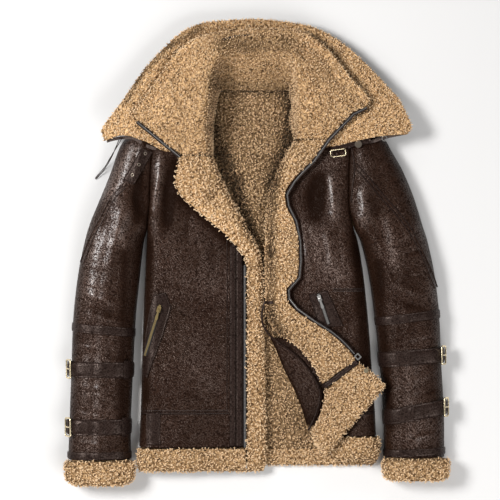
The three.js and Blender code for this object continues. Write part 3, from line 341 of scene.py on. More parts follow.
FRONT_LEFT = Band(table(
    "y left right zLeft zRight footRight rollRight",
    (289, 92, 104, 26, 26, ON_BACK, 8),
    (262, 90, 143, 30, 32, ON_BACK, 20),
    (243, 88, 172, 32, 36, 24, 18),
    (228, 87, 174, 33, 40, 36, 8),
    (194, 74, 173.5, 34, 44, 41, 8),
    (156, 54, 172, 32, 44, 40, 10),
    (99, 35, 171.5, 30, 44, 38, 14),
    (50, 29, 180, 30, 45, 28, 22),
    (20, 27.5, 190, 30, 45, ON_BACK, 26),
    (-53, 28, 202, 30, 45, ON_BACK, 27),
    (-110, 30, 208, 30, 45, ON_BACK, 27),
    (-140, 44, 210.8, 30, 45, ON_BACK, 27),
    (-170, 78, 213.3, 31, 45, ON_BACK, 27),
    (-200, 110, 215.3, 32, 45, ON_BACK, 27),
    (-235, 132, 217.8, 33, 45, ON_BACK, 27),
    (-262, 141, 220, 34, 45, ON_BACK, 27),
    (-308, 144, 223, 34, 45, ON_BACK, 27),
), PANEL, soft=1.0)
WAISTBAND_RIGHT = Band(table(
    "y left right zLeft zRight footLeft rollLeft",
    (-308.4, -225.5, -29.5, 45, 31, ON_BACK, 27),
    (-340, -226.8, -29.5, 45.5, 31, ON_BACK, 27),
    (-371.4, -228, -29.5, 45, 31, ON_BACK, 27),
), PANEL, soft=0.6)
WAISTBAND_LEFT = Band(table(
    "y left right zLeft zRight footRight rollRight",
    (-308.4, 144, 223, 34, 45, ON_BACK, 27),
    (-330, 142, 224, 33, 45, ON_BACK, 27),
    (-350, 138, 225, 32, 45, ON_BACK, 27),
), PANEL, soft=0.6)
HEM_RIGHT = Band(table(
    "y left right zLeft zRight footLeft rollLeft",
    (-371.9, -230, -23, 46, 34, ON_HEM, 26),
    (-380, -233, -23, 49, 37, ON_HEM, 28),
    (-398, -233.7, -23, 49, 37, ON_HEM, 28),
    (-412.5, -231.5, -23, 43, 32, ON_HEM, 26),
    (-420, -227, -23, 32, 26, ON_HEM, 20),
), HEM)
HEM_LEFT = Band(table(
    "y left right zLeft zRight footRight rollRight",
    (-350.5, 140, 230, 34, 46, ON_HEM, 26),
    (-360, 138, 234, 37, 49, ON_HEM, 28),
    (-375, 136, 234, 37, 49, ON_HEM, 28),
    (-389, 138, 231, 33, 43, ON_HEM, 26),
    (-398, 142, 226, 26, 32, ON_HEM, 20),
), HEM)


def armhole_right(y):
    return read(FRONT_RIGHT.rows, "y", "left", y) - 0.6


def armhole_left(y):
    return read(FRONT_LEFT.rows, "y", "right", y) + 0.6


SLEEVE_RIGHT = Band(table(
    "y left right zLeft zRight footRight rollLeft rollRight",
    (234, -217, -200, 36, 36, 33, 10, 4),
    (213, -257, -199, 42, 42, 39, 30, 6),
    (194, -268, -200, 45, 44, 41, 36, 8),
    (156, -281, -203, 48, 44, 40, 40, 10),
    (99, -304, -206, 50, 44, 38, 42, 14),
    (50, -324, -212, 51, 46, 28, 43, 24),
    (20, -332.5, -219.5, 51, 50, ON_BACK, 44, 34),
    (-53, -346.5, -228, 51, 51, ON_BACK, 44, 40),
    (-129, -354.5, -235.5, 51, 51, ON_BACK, 44, 40),
    (-205, -357.5, -239.5, 50, 50, ON_BACK, 44, 40),
    (-281, -360, -243, 49, 49, ON_BACK, 44, 40),
    (-338, -362, -245, 48, 48, ON_BACK, 44, 40),
    (-395.5, -364, -244.5, 47, 47, ON_BACK, 44, 40),
), PANEL, soft=1.0, fixed={"footLeft": ON_BACK, "crown": 3}, right=armhole_right)
SLEEVE_LEFT = Band(table(
    "y left right zLeft zRight footLeft rollLeft rollRight",
    (234, 172, 210, 36, 36, 33, 4, 16),
    (213, 172, 243, 42, 42, 39, 6, 32),
    (194, 172, 254, 44, 45, 41, 8, 36),
    (156, 171, 275.5, 44, 48, 40, 10, 40),
    (99, 171, 299, 44, 50, 38, 14, 42),
    (50, 182, 314, 46, 51, 28, 24, 43),
    (20, 196, 323.5, 50, 51, ON_BACK, 34, 44),
    (-53, 212.8, 338.5, 51, 51, ON_BACK, 40, 44),
    (-129, 223.3, 346.5, 51, 51, ON_BACK, 40, 44),
    (-205, 231.4, 349.5, 50, 50, ON_BACK, 40, 44),
    (-281, 238, 353.5, 49, 49, ON_BACK, 40, 44),
    (-338, 240.4, 355.5, 48, 48, ON_BACK, 40, 44),
    (-390.7, 240.7, 355.5, 47, 47, ON_BACK, 40, 44),
), PANEL, soft=1.0, fixed={"footRight": ON_BACK, "crown": 3}, left=armhole_left)
FACING_FOOT = ON_BACK + 0.1
FACING_RIGHT = Band(table(
    "y left right zLeft zRight footRight",
    (181.6, -147.5, -83, 61, 57, FACING_FOOT),
    (170, -151.5, -79.5, 57, 54, FACING_FOOT),
    (156, -155, -75, 55, 53, FACING_FOOT),
    (143, -157.5, -69.5, 54, 52, FACING_FOOT),
    (130, -158, -63.5, 53, 51, FACING_FOOT),
    (112, -151, -55, 52.5, 50, FACING_FOOT),
    (92, -131, -43.5, 51, 49, FACING_FOOT),
    (66, -101, -29, 49, 47, FACING_FOOT),
    (42, -73, -18, 47.5, 46, FACING_FOOT),
    (18, -48, -4, 46, 45, FACING_FOOT),
    (0, -33.5, 4, 44.5, 43.5, FACING_FOOT),
    (-20, -23.2, 8.5, 43.5, 42, FACING_FOOT),
    (-52, -22.4, 10.5, 33, 31, FACING_FOOT),
    (-129, -22.4, 12, 32, 31, FACING_FOOT),
    (-205, -22.4, 13.3, 32, 31, FACING_FOOT),
    (-281, -22.4, 14.5, 32, 31, FACING_FOOT),
    (-340, -22.4, 15.2, 33, 32, FACING_FOOT),
    (-371, -22.4, 15, 34, 32, ON_HEM),
    (-396, -22.4, 14.5, 34, 32, ON_HEM),
    (-412.5, -22.4, 13, 30, 28, ON_HEM),
    (-420, -22.4, 10, 25, 24, ON_HEM),
), FACING, fixed={"rollRight": 14})
FACING_LEFT = Band(table(
    "step ax ay bx by zLeft zRight footLeft rollLeft",
    (0, 66, 212.4, 128, 212.4, 64, 63.5, 10.5, 14),
    (1, 55, 193, 116, 193, 60, 59, 10.5, 14),
    (2, 44.6, 175, 103.5, 175, 54, 53, 10.5, 14),
    (3, 35, 156, 84, 156, 51, 50, 10.5, 14),
    (4, 27.5, 137, 66.7, 137, 48, 47, 10.5, 14),
    (5, 19, 110, 51, 110, 45, 44, 10.5, 13),
    (6, 15, 86, 54.5, 86, 44, 44, 10.5, 13),
    (7, 12, 57, 69, 57, 44, 45, 10.5, 14),
    (8, 10.5, 20, 76.4, 20, 43, 45, 10.5, 14),
    (9, 9.7, -16, 77.5, -16, 43, 45, 10.5, 14),
    (10, 10.5, -47, 75, -47, 43, 45, 10.5, 14),
    (11, 11.4, -71, 54.5, -71, 43, 44, 10.5, 14),
    (12, 11.4, -90, 55.5, -90, 43, 45, 10.5, 14),
    (13, 12, -110, 71.3, -110, 45, 50, 10.5, 14),
    (14, 18, -133, 103.5, -133, 48, 55, 13, 14),
    (15, 33, -153, 135.5, -153, 50, 57, 26, 14),
    (16, 62, -172, 153, -167, 52, 58, 27, 14),
    (17, 86, -194, 168, -182, 53, 59, 27, 14),
    (18, 106, -222, 178.5, -194, 54, 60, 27, 14),
    (19, 121, -252, 184, -204, 54, 60, 27, 14),
), FACING, along="step")
HEM_CORNER = Band(table(
    "step ax ay bx by zLeft zRight footLeft footRight",
    (0, 126, -260, 190, -210, 56, 61, 27, 55),
    (1, 122, -288, 203, -218, 57, 62, 27, 56),
    (2, 112, -319, 217, -228, 58, 62, 26, 56),
    (3, 99, -343, 229, -240, 58, 62, 20, 56),
    (4, 107, -368, 237, -248, 58, 62, 16, 56),
    (5, 126, -388, 242, -254, 54, 59, 42, 54),
), HEM - 1, along="step", fixed={"rollLeft": 15, "rollRight": 10})
TURN_LEFT = Band(table(
    "y left right zLeft zRight",
    (-164, 22, 50, 16, 19),
    (-186, 33, 84, 17, 23),
    (-224, 48.5, 113, 18, 25),
    (-262, 67.5, 130, 19, 26),
    (-300, 82.7, 121, 18, 23),
    (-330, 92, 110, 16, 18),
), 3, fixed={"footLeft": ON_BACK + 0.2, "rollLeft": 9})

# Lines across the collars, each with five points from the outer edge to the neck
OUTER_COLLAR = (
    (-292, 211, 54, -255.5, 221, 58, -214, 209, 57, -172, 190, 54, -119, 201, 48),
    (-297, 231, 55, -259, 239, 58, -214, 236, 57, -164, 232, 54, -117, 236, 49),
    (-284, 253, 52, -246, 262, 56, -204, 262, 55, -159, 260, 52, -113, 266, 49),
    (-262, 283, 46, -229, 287, 51, -193, 283, 53, -153, 277, 51, -109, 279, 46),
    (-239, 317, 40, -210, 312, 46, -180, 306, 49, -143, 298, 48, -105.5, 292.6, 42),
    (-211, 355.5, 36, -187, 346, 41, -160.5, 334, 43, -130, 321, 40, -98, 305, 28),
    (-177.6, 391, 33, -157, 374, 36, -134, 355, 36, -107, 332.5, 30, -84, 309, 11),
    (-142, 421.6, 31, -124.5, 399, 34, -103.5, 372, 32, -81, 342, 24, -62, 308, 10.4),
    (-109, 435.7, 30, -94, 410, 31, -77, 380, 28, -60, 346, 20, -45, 308, 10.2),
    (-65.7, 441, 29, -58, 414, 29, -48.5, 382, 25, -37, 346, 18, -27.5, 308, 10),
    (-1, 443.5, 29, -1, 414, 28, -1, 382, 24, -1, 346, 17, -1, 308, 10),
    (61.8, 437, 29, 52, 410, 29, 43, 380, 25, 33, 346, 18, 25.7, 308, 10),
    (100.5, 429.6, 30, 84.5, 406.6, 31, 69, 378, 28, 54, 344, 20, 43, 308, 10.2),
    (134.5, 413.8, 31, 115, 393, 34, 94, 368.6, 32, 75, 338, 24, 56, 308, 10.4),
    (170.8, 389.5, 33, 147, 372, 36, 122.5, 353, 36, 94, 330.6, 30, 70, 309, 11),
    (207, 355.7, 36, 176, 342, 41, 143.5, 328.7, 43, 109, 315, 40, 80, 302, 28),
    (243.6, 316.7, 40, 204, 309.7, 46, 164, 302, 49, 122.5, 294.5, 48, 86, 288, 42),
    (265.4, 292.6, 46, 221, 287, 51, 176, 281, 53, 132, 275.5, 51, 88, 273.6, 46),
    (280, 263.5, 52, 233, 262, 56, 183, 260, 55, 138, 258, 52, 89, 256.5, 49),
    (289.6, 237, 55, 240, 239, 58, 189, 237.5, 57, 140, 233.7, 54, 89, 233.7, 50),
    (282, 223, 54, 231, 219.5, 58, 183, 210, 57, 136, 199.5, 51, 94, 201, 47),
)
INNER_COLLAR = (
    (-226, 251, 69, -145, 185.6, 63, -99, 185.4, 61, -89, 185.4, 44, -85, 185.4, 11),
    (-233.7, 266.4, 69, -164, 235.6, 74, -102.6, 232, 80, -91, 234, 52, -84, 236, 11),
    (-210.7, 294.5, 66, -153, 277, 73, -99.8, 266, 82, -87, 270, 54, -79, 273.6, 11),
    (-185, 332.5, 62, -138, 319, 71, -93, 306, 82, -82, 307, 52, -73, 303, 11),
    (-157, 375.8, 56, -120.6, 365, 66, -84.5, 353.4, 80, -75, 334, 50, -66, 308, 18),
    (-126.7, 401.3, 52, -99.8, 395, 61, -71, 384, 74, -62, 350, 46, -52, 308, 16),
    (-91, 414, 50, -69, 408.5, 56, -44.7, 399, 66, -35, 355, 40, -29.5, 308, 16),
    (-1, 422.8, 50, -1, 416, 54, -1, 406.6, 60, -1, 357, 38, -1, 308, 16),
    (61.8, 422, 50, 50, 414, 56, 37, 401, 66, 33, 355, 40, 29.5, 308, 16),
    (95.8, 413.8, 52, 75, 401, 61, 58, 385.7, 74, 52, 350, 46, 46, 308, 16),
    (144, 370, 56, 105.5, 365, 66, 71, 357, 80, 62, 336, 50, 54, 308, 16),
    (170.8, 333.8, 62, 120.6, 325, 71, 73, 315.4, 82, 63.6, 311.6, 54, 56, 304, 11),
    (207, 290, 68, 139.6, 285, 74, 79, 277.4, 82, 68.4, 279, 54, 60, 279, 11),
    (204, 276, 68, 137, 270, 74, 78.5, 263, 81, 67.5, 265, 54, 59, 265, 11),
    (177.6, 264, 68, 126, 252.7, 73, 77, 247, 80, 66, 249, 54, 58, 249, 11),
    (129, 213.2, 63, 104, 213.2, 64, 80, 213.2, 62, 70, 213.2, 44, 66, 213.2, 11),
)
# How far the back of each of the five points lies below and beyond it
FLAT_UNDER = ((COLLAR, 0),) * 5
STAND_UNDER = ((COLLAR, 0), (COLLAR, 0), (8, 5), (2, COLLAR), (0, COLLAR))


def smooth_line(points, t):
    """Centripetal Catmull-Rom line through points, read at shares t of its length in points."""
    points = np.asarray(points, float)
    ends = np.concatenate([[2 * points[0] - points[1]], points, [2 * points[-1] - points[-2]]])
    place = np.asarray(t) * (len(points) - 1)
    k = np.minimum(place.astype(int), len(points) - 2)
    w = (place - k)[:, None]
    a, b, c, d = (ends[k + n] for n in range(4))
    step = [np.maximum(((q - p) ** 2).sum(-1) ** 0.25, 1e-4)[:, None] for p, q in ((a, b), (b, c), (c, d))]
    m = ((b - a) / step[0] - (c - a) / (step[0] + step[1]) + (c - b) / step[1]) * step[1]
    n = ((c - b) / step[1] - (d - b) / (step[1] + step[2]) + (d - c) / step[2]) * step[1]
    return b + w * m + w**2 * (3 * (c - b) - 2 * m - n) + w**3 * (2 * (b - c) + m + n)


def collar_grid(rows, under, across, down):
    lines = np.array(rows, float).reshape(len(rows), 5, 3)
    away = unit(lines[:, 2, :2] - lines[:, 4, :2])
    shifted = lines.copy()
    for k, (drop, out) in enumerate(under):
        shifted[:, k, :2] += away * out
        shifted[:, k, 2] -= drop
    grids = []
    for source in (lines, shifted):
        fine = np.array([smooth_line(line, np.linspace(0, 1, across)) for line in source])
        grids.append(np.stack([smooth_line(fine[:, j], np.linspace(0, 1, down)) for j in range(across)], 1))
    return grids


# Meshes
def make(name, points, faces, looks, indices=None, stands_for=(), smooth=True):
    mesh = bpy.data.meshes.new(name)
    mesh.from_pydata(((np.asarray(points) + SHIFT) * MM).tolist(), [], [list(face) for face in faces])
    obj = bpy.data.objects.new(name, mesh)
    bpy.context.collection.objects.link(obj)
    for look in looks:
        mesh.materials.append(look)
    if indices is not None:
        mesh.polygons.foreach_set("material_index", np.asarray(indices, np.int32))
    mesh.polygons.foreach_set("use_smooth", np.full(len(mesh.polygons), smooth))
    mesh.update()
    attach(obj, "coat")
    if stands_for:
        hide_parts(*stands_for)
    return obj


def grid_faces(rows, columns):
    k = np.arange(rows * columns).reshape(rows, columns)
    return np.stack([k[:-1, :-1], k[1:, :-1], k[1:, 1:], k[:-1, 1:]], -1).reshape(-1, 4)


def wall_faces(rows, columns):
    """Faces of the outer grid, the inner grid and the four edges between them."""
    half = rows * columns
    outer = grid_faces(rows, columns)
    k = np.arange(half).reshape(rows, columns)
    edges = []
    for line in (k[0, ::-1], k[-1], k[:, 0], k[::-1, -1]):
        edges.append(np.stack([line[:-1], line[1:], line[1:] + half, line[:-1] + half], -1))
    return outer, outer[:, ::-1] + half, np.concatenate(edges)


def normals_of(outer, inner):
    du = np.gradient(outer, axis=0)
    dv = np.gradient(outer, axis=1)
    normal = unit(np.cross(du, dv))
    side = (normal * (outer - inner)).sum(-1).mean()
    return normal if side > 0 else -normal


def store(obj, name, values):
    """A value for each point, kept with the mesh for its material."""
    colour = np.repeat(np.asarray(values, float).reshape(-1, 1), 4, 1)
    colour[:, 3] = 1
    layer = obj.data.color_attributes.new(name, "FLOAT_COLOR", "POINT")
    layer.data.foreach_set("color", colour.astype(np.float32).ravel())


def cloth(name, node, outer, inner, looks):
    """A wall of cloth as a closed shell, in place of its solid."""
    rows, columns = outer.shape[:2]
    faces = wall_faces(rows, columns)
    indices = np.concatenate([np.full(len(part), look) for part, look in zip(faces, (0, 1, 0))])
    points = np.concatenate([outer.reshape(-1, 3), inner.reshape(-1, 3)])
    obj = make(name, points, np.concatenate(faces), looks, indices, stands_for=(node,))
    return obj


# Materials
def feed(tree, node, values):
    """Gives each named input of a node its number or colour, or a link from a socket."""
    for name, value in values.items():
        if isinstance(value, bpy.types.NodeSocket):
            tree.links.new(value, node.inputs[name])
        else:
            node.inputs[name].default_value = value


def add(tree, kind, values, **settings):
    node = tree.nodes.new("ShaderNode" + kind)
    for name, value in settings.items():
        setattr(node, name, value)
    feed(tree, node, values)
    return node


def new_material(name):
    material = bpy.data.materials.new(name)
    material.use_nodes = True
    tree = material.node_tree
    return material, tree, tree.nodes["Principled BSDF"]


# Sockets of a mix node: the factor, then the two vectors and the two colours
FACTOR, VECTOR_A, VECTOR_B, COLOUR_A, COLOUR_B = 0, 4, 5, 6, 7
MIXED_VECTOR, MIXED_COLOUR = 1, 2


def hide_group():
    """Pebbled grain: a height for bump, a mask that is high on the pebbles' tops, and soft clouds."""
    group = bpy.data.node_groups.new("hide_grain", "ShaderNodeTree")
    for label in ("Pebble", "Wrinkle"):
        group.interface.new_socket(label, in_out="INPUT", socket_type="NodeSocketFloat")
    for label in ("Height", "Tops", "Cloud"):
        group.interface.new_socket(label, in_out="OUTPUT", socket_type="NodeSocketFloat")
    source, sink = group.nodes.new("NodeGroupInput"), group.nodes.new("NodeGroupOutput")
    where = add(group, "TexCoord", {}).outputs["Object"]
    bend = add(group, "TexNoise", {"Scale": 60, "Detail": 2, "Vector": where})
    bent = add(group, "Mix", {
        FACTOR: 0.012, VECTOR_A: where, VECTOR_B: bend.outputs["Color"],
    }, data_type="VECTOR")
    cells = add(group, "TexVoronoi", {
        "Smoothness": 0.5, "Vector": bent.outputs[MIXED_VECTOR], "Scale": source.outputs["Pebble"],
    }, feature="SMOOTH_F1")
    wrinkle = add(group, "TexNoise", {
        "Detail": 4, "Roughness": 0.6, "Vector": where, "Scale": source.outputs["Wrinkle"],
    })
    cloud = add(group, "TexNoise", {"Scale": 14, "Detail": 1, "Vector": where})
    near = {"From Min": 0.75, "From Max": 0.1, "Value": cells.outputs["Distance"]}
    tops = add(group, "MapRange", near).outputs["Result"]
    high = add(group, "Math", {0: wrinkle.outputs["Fac"], 1: 0.3, 2: tops}, operation="MULTIPLY_ADD")
    feed(group, sink, {"Height": high.outputs[0], "Tops": tops, "Cloud": cloud.outputs["Fac"]})
    return group


HIDE = hide_group()


def leather(name, dark, light, rough, bump, pebble, wrinkle=90, shine=0.35, painted_light=False):
    """Brown pebbles with dark gaps. On a panel a stored value paints light and shade: darker in folds, at
    seams and beside what covers it, and glossier under painted sheen.
    """
    material, tree, shader = new_material(name)
    grain = add(tree, "Group", {"Pebble": pebble, "Wrinkle": wrinkle}, node_tree=HIDE)
    tops = grain.outputs["Tops"]
    share = add(tree, "MapRange", {
        "From Min": 0.34, "From Max": 0.66, "To Min": 0.72, "Value": grain.outputs["Cloud"],
    }).outputs["Result"]
    mask = add(tree, "Math", {0: share, 1: tops}, operation="MULTIPLY").outputs[0]
    gleam = add(tree, "MapRange", {"To Min": 0.16 * shine, "To Max": shine, "Value": tops}).outputs["Result"]
    if painted_light:
        # The stored value is painted light and shade: painted shade in folds and at seams, painted sheen
        # that also sets the gloss and the coat.
        stored = add(tree, "Attribute", {}, attribute_name="painted_shade_and_sheen").outputs["Fac"]
        mask = add(tree, "Math", {0: mask, 1: stored}, operation="MULTIPLY").outputs[0]
        painted_sheen = add(tree, "MapRange", {"From Min": 0.15, "To Min": 0.06, "Value": stored}).outputs["Result"]
        gleam = add(tree, "Math", {0: gleam, 1: painted_sheen}, operation="MULTIPLY").outputs[0]
        coated = add(tree, "MapRange", {"From Min": 0.22, "From Max": 0.7, "Value": gleam})
        feed(tree, shader, {"Coat Weight": coated.outputs["Result"], "Coat Roughness": rough + 0.04})
    colour = add(tree, "Mix", {FACTOR: mask, COLOUR_A: (*dark, 1), COLOUR_B: (*light, 1)}, data_type="RGBA")
    gloss = add(tree, "MapRange", {"To Min": rough + 0.16, "To Max": rough - 0.05, "Value": tops})
    grained = add(tree, "Bump", {"Strength": 1.0, "Distance": bump * MM, "Height": grain.outputs["Height"]})
    feed(tree, shader, {
        "Base Color": colour.outputs[MIXED_COLOUR],
        "Roughness": gloss.outputs["Result"],
        "Specular IOR Level": gleam,
        "Specular Tint": (1.0, 0.79, 0.69, 1),
        "Normal": grained.outputs["Normal"],
    })
    return material


def three_tones(tree, value, low, middle, high):
    """A ramp through three colours, each given with its place."""
    ramp = add(tree, "ValToRGB", {"Fac": value})
    elements = ramp.color_ramp.elements
    for element, (place, colour) in ((elements[0], low), (elements[1], high)):
        element.position = place
        element.color = (*colour, 1)
    elements.new(middle[0]).color = (*middle[1], 1)
    return ramp.outputs["Color"]


def wool_base(name, root, mid, tip):
    """The ground of the pile: lumps and gaps between curls, painted darker than the curls as painted shade
    between them, and bumped.
    """
    material, tree, shader = new_material(name)
    where = add(tree, "TexCoord", {}).outputs["Object"]
    fine = add(tree, "TexNoise", {
        "Scale": 240, "Detail": 3, "Roughness": 0.65, "Distortion": 0.9, "Vector": where,
    }).outputs["Fac"]
    colour = three_tones(tree, fine, (0.36, root), (0.5, mid), (0.64, tip))
    # The stored multiplier is painted light and shade on the wool, with some random variation.
    stored = add(tree, "Attribute", {}, attribute_name="painted_light_and_tone").outputs["Color"]
    tinted = add(tree, "Mix", {
        FACTOR: 1, COLOUR_A: colour, COLOUR_B: stored,
    }, data_type="RGBA", blend_type="MULTIPLY")
    rise = add(tree, "Bump", {"Distance": 2.0 * MM, "Height": fine})
    feed(tree, shader, {
        "Base Color": tinted.outputs[MIXED_COLOUR],
        "Roughness": 0.95,
        "Specular IOR Level": 0.15,
        "Normal": rise.outputs["Normal"],
    })
    return material


def wool_curls(name, root, mid, tip):
    """Curls: dark at the root as painted shade deep in the pile, pale at the tip, each with its own tint
    from a stored value.
    """
    material, tree, shader = new_material(name)
    stored = add(tree, "Attribute", {}, attribute_name="curl").outputs["Color"]
    grown = add(tree, "SeparateColor", {"Color": stored}).outputs["Red"]
    feed(tree, shader, {
        "Base Color": three_tones(tree, grown, (0.0, root), (0.3, mid), (1.0, tip)),
        "Roughness": 0.85,
        "Specular IOR Level": 0.2,
        "Sheen Weight": 0.25,
        "Sheen Roughness": 0.5,
        "Sheen Tint": (1.0, 0.85, 0.62, 1),
    })
    return material


def plain(name, colour, rough, metal=0.0, bump=0.0):
    material, tree, shader = new_material(name)
    feed(tree, shader, {"Base Color": (*colour, 1), "Roughness": rough, "Metallic": metal})
    if bump:
        where = add(tree, "TexCoord", {}).outputs["Object"]
        fine = add(tree, "TexNoise", {"Scale": 900, "Vector": where})
        rise = add(tree, "Bump", {"Distance": bump * MM, "Height": fine.outputs["Fac"]})
        feed(tree, shader, {"Normal": rise.outputs["Normal"]})
    return material


LEATHER = leather("pebbled_leather", (0.009, 0.004, 0.0024), (0.07, 0.0325, 0.0195), 0.29, 0.66, pebble=380,
                  shine=0.95, painted_light=True)
UNDER = leather("plain_leather", (0.01, 0.006, 0.005), (0.05, 0.03, 0.024), 0.45, 0.4, pebble=270, shine=0.3)
TRIM = leather("trim_leather", (0.008, 0.0042, 0.0033), (0.023, 0.012, 0.0092), 0.36, 0.14, pebble=420,
               wrinkle=150, shine=0.5)
RIM = leather("rim_leather", (0.05, 0.036, 0.03), (0.12, 0.095, 0.085), 0.45, 0.2, pebble=600, wrinkle=160)
GROUND = wool_base("wool_ground", (0.035, 0.017, 0.006), (0.26, 0.152, 0.07), (0.56, 0.37, 0.195))
CURLS = wool_curls("wool_curls", (0.12, 0.06, 0.024), (0.66, 0.425, 0.228), (0.94, 0.71, 0.46))
TAPE = plain("zip_tape", (0.018, 0.014, 0.014), 0.8, bump=0.2)
NICKEL = plain("nickel", (0.62, 0.60, 0.57), 0.3, 1.0)
OLD_BRASS = plain("old_brass", (0.42, 0.31, 0.14), 0.36, 1.0)
PALE_BRASS = plain("pale_brass", (0.78, 0.66, 0.44), 0.26, 1.0, bump=0.03)
DARK_METAL = plain("dark_bronze", (0.3, 0.25, 0.2), 0.34, 1.0)
THREAD = plain("thread", (0.035, 0.024, 0.02), 0.7)

# Curls of wool, whose sizes run from one number to the other
RINGS = 5
SIDES = 3
LOCK_RISE = (3.0, 4.8)
LOCK_BEND = (1.3, 2.3)
LOCK_SWEEP = (2.4, 4.4)  # radians
LOCK_THICK = (0.95, 1.45)
LOCK_DENSITY = 0.053  # for each square millimetre of pile
CUFF_DENSITY = 0.042
CUFF_LOCK = 1.05
COMB_WAY = -60  # degrees
COMB_WAVE = 38
TUFT_WAVE = 7
MOST_CURLS = 5400  # in one piece
UNEVEN = 0.7  # waves of the ground below the curls

# Painted light and shade on the wool: lines painted lighter on crests and darker in deep places
WOOL_PAINTED_LIGHT = table(
    "x0 y0 x1 y1 half amount",
    (-111, 427, -168, 393, 7, -0.42),
    (-168, 393, -225, 336, 7, -0.42),
    (-225, 336, -250, 285, 7, -0.42),
    (-100, 414, -158, 380, 7, 0.16),
    (-158, 380, -212, 325, 7, 0.16),
    (-212, 325, -238, 275, 7, 0.16),
    (-142, 352, -186, 290, 6, -0.14),
    (95, 420, 150, 376, 8, -0.2),
    (150, 376, 210, 300, 6, -0.12),
    (92, 404, 140, 368, 7, 0.16),
    (140, 368, 196, 296, 7, 0.16),
    (-86, 330, -84, 232, 14, -0.2),
    (-84, 232, -72, 190, 14, -0.2),
    (-72, 190, -44, 132, 15, -0.3),
    (-44, 132, -10, 25, 14, -0.3),
    (56, 300, 58, 215, 12, -0.3),
    (58, 215, 28, 130, 12, -0.35),
    (28, 130, 24, 0, 10, -0.3),
    (24, 0, 24, -120, 10, -0.25),
    (24, -120, 70, -205, 12, -0.3),
    (-70, 392, 50, 392, 17, -0.3),
    (-76, 345, 54, 345, 17, -0.12),
    (-78, 316, 56, 316, 14, -0.28),
    (-100, 92, -58, 166, 9, -0.2),
    (-150, 150, -96, 75, 18, 0.12),
    (-96, 75, -20, 0, 16, 0.16),
    (-270, 235, -150, 390, 30, 0.12),
    (-190, 260, -140, 340, 24, 0.1),
    (60, 190, 46, 60, 14, 0.15),
    (46, 60, 50, -80, 14, 0.12),
    (80, 340, 110, 240, 18, 0.12),
)


def painted_light_and_tone(points):
    """Painted light and shade on the wool: painted highlight on crests, painted shade in deep places, and a
    little random variation.
    """
    points = np.asarray(points, float)
    value = np.zeros(points.shape[:-1])
    for x0, y0, x1, y1, half, amount in zip(*WOOL_PAINTED_LIGHT.values()):
        value = value + 1.25 * amount * nearness(np.array([[x0, y0, 0], [x1, y1, 0]]), points, half)
    return np.clip(value, -0.55, 0.3) + 0.06 * lattice_noise(points[..., 0], points[..., 1], 30, 12)


def nearness(line, points, half):
    """1 on a line of points, falling softly to 0 beyond a half width, seen from above."""
    best = np.full(points.shape[:-1], 1e9)
    for (x0, y0), (x1, y1) in zip(line[:-1, :2], line[1:, :2]):
        dx, dy = x1 - x0, y1 - y0
        x, y = points[..., 0] - x0, points[..., 1] - y0
        t = np.clip((x * dx + y * dy) / max(dx * dx + dy * dy, 1e-9), 0, 1)
        away = np.hypot(x - t * dx, y - t * dy)
        best = np.minimum(best, away)
    return np.exp(-(best / half) ** 2)


def curls(name, points, normals, seed, size, pale=0.0, combed=0.0):
    """Bent, tapered locks rooted at points, joined into one mesh with a stored root-to-tip value."""
    rng = np.random.default_rng(seed)
    count = len(points)
    tangent = rng.normal(size=(count, 3))
    x, y = points[:, 0], points[:, 1]
    way = np.radians(COMB_WAY) + 1.3 * lattice_noise(x, y, COMB_WAVE, 17)
    tuft = 5 * lattice_noise(x, y, TUFT_WAVE, 19)
    for strength, angle in ((3 * combed, way), (1.6, tuft)):
        tangent += strength * np.stack([np.cos(angle), np.sin(angle), np.zeros(count)], -1)
    tangent -= normals * (tangent * normals).sum(1, keepdims=True)
    tangent = unit(tangent)
    third = np.cross(normals, tangent)
    lean = normals * (1 - 0.35 * combed) + (0.5 * rng.uniform(0, 1, (count, 1)) + 0.8 * combed) * tangent
    rise = rng.uniform(*LOCK_RISE, (count, 1)) * size
    radius = rng.uniform(*LOCK_BEND, (count, 1)) * size
    sweep = rng.uniform(*LOCK_SWEEP, (count, 1)) * rng.choice([-1, 1], (count, 1)) * (1 - 0.55 * combed)
    thick = rng.uniform(*LOCK_THICK, (count, 1)) * size
    rings = []
    for k in range(RINGS + 1):
        u = k / RINGS
        angle = sweep * u
        radial = np.cos(angle) * tangent + np.sin(angle) * third
        centre = points + lean * rise * (1.5 * u - 0.55 * u * u) + radius * (radial - tangent)
        if k == RINGS:
            rings.append(centre[:, None])
            break
        for side in range(SIDES):
            turn = 2 * np.pi * side / SIDES
            out = np.cos(turn) * radial + np.sin(turn) * normals
            rings.append((centre + thick * (1 - 0.45 * u) * out)[:, None])
    verts = np.concatenate(rings, 1)
    verts[..., 2] = np.maximum(verts[..., 2], 0.1)
    per = RINGS * SIDES + 1
    faces = []
    for k in range(RINGS - 1):
        for side in range(SIDES):
            a, b = k * SIDES + side, k * SIDES + (side + 1) % SIDES
            faces += [(a, b, b + SIDES), (a, b + SIDES, a + SIDES)]
    last = (RINGS - 1) * SIDES
    faces += [(last + side, last + (side + 1) % SIDES, per - 1) for side in range(SIDES)]
    faces = (np.array(faces)[None] + per * np.arange(count)[:, None, None]).reshape(-1, 3)
    obj = make(name, verts.reshape(-1, 3), faces, [CURLS])
    # Darker towards the root: painted shade deep in the pile.
    shade = np.array([k / RINGS for k in range(RINGS) for _ in range(SIDES)] + [1.0])
    tint = rng.normal(0, 0.07, (count, 1)) + 0.08 * lattice_noise(x, y, 22, 9)[:, None]
    tint = tint + 0.14 * lattice_noise(x, y, 4.5, 21)[:, None]
    value = np.clip(shade[None] * 0.95 + tint + (painted_light_and_tone(points) + pale)[:, None], 0.0, 1.0)
    store(obj, "curl", value)
    return obj


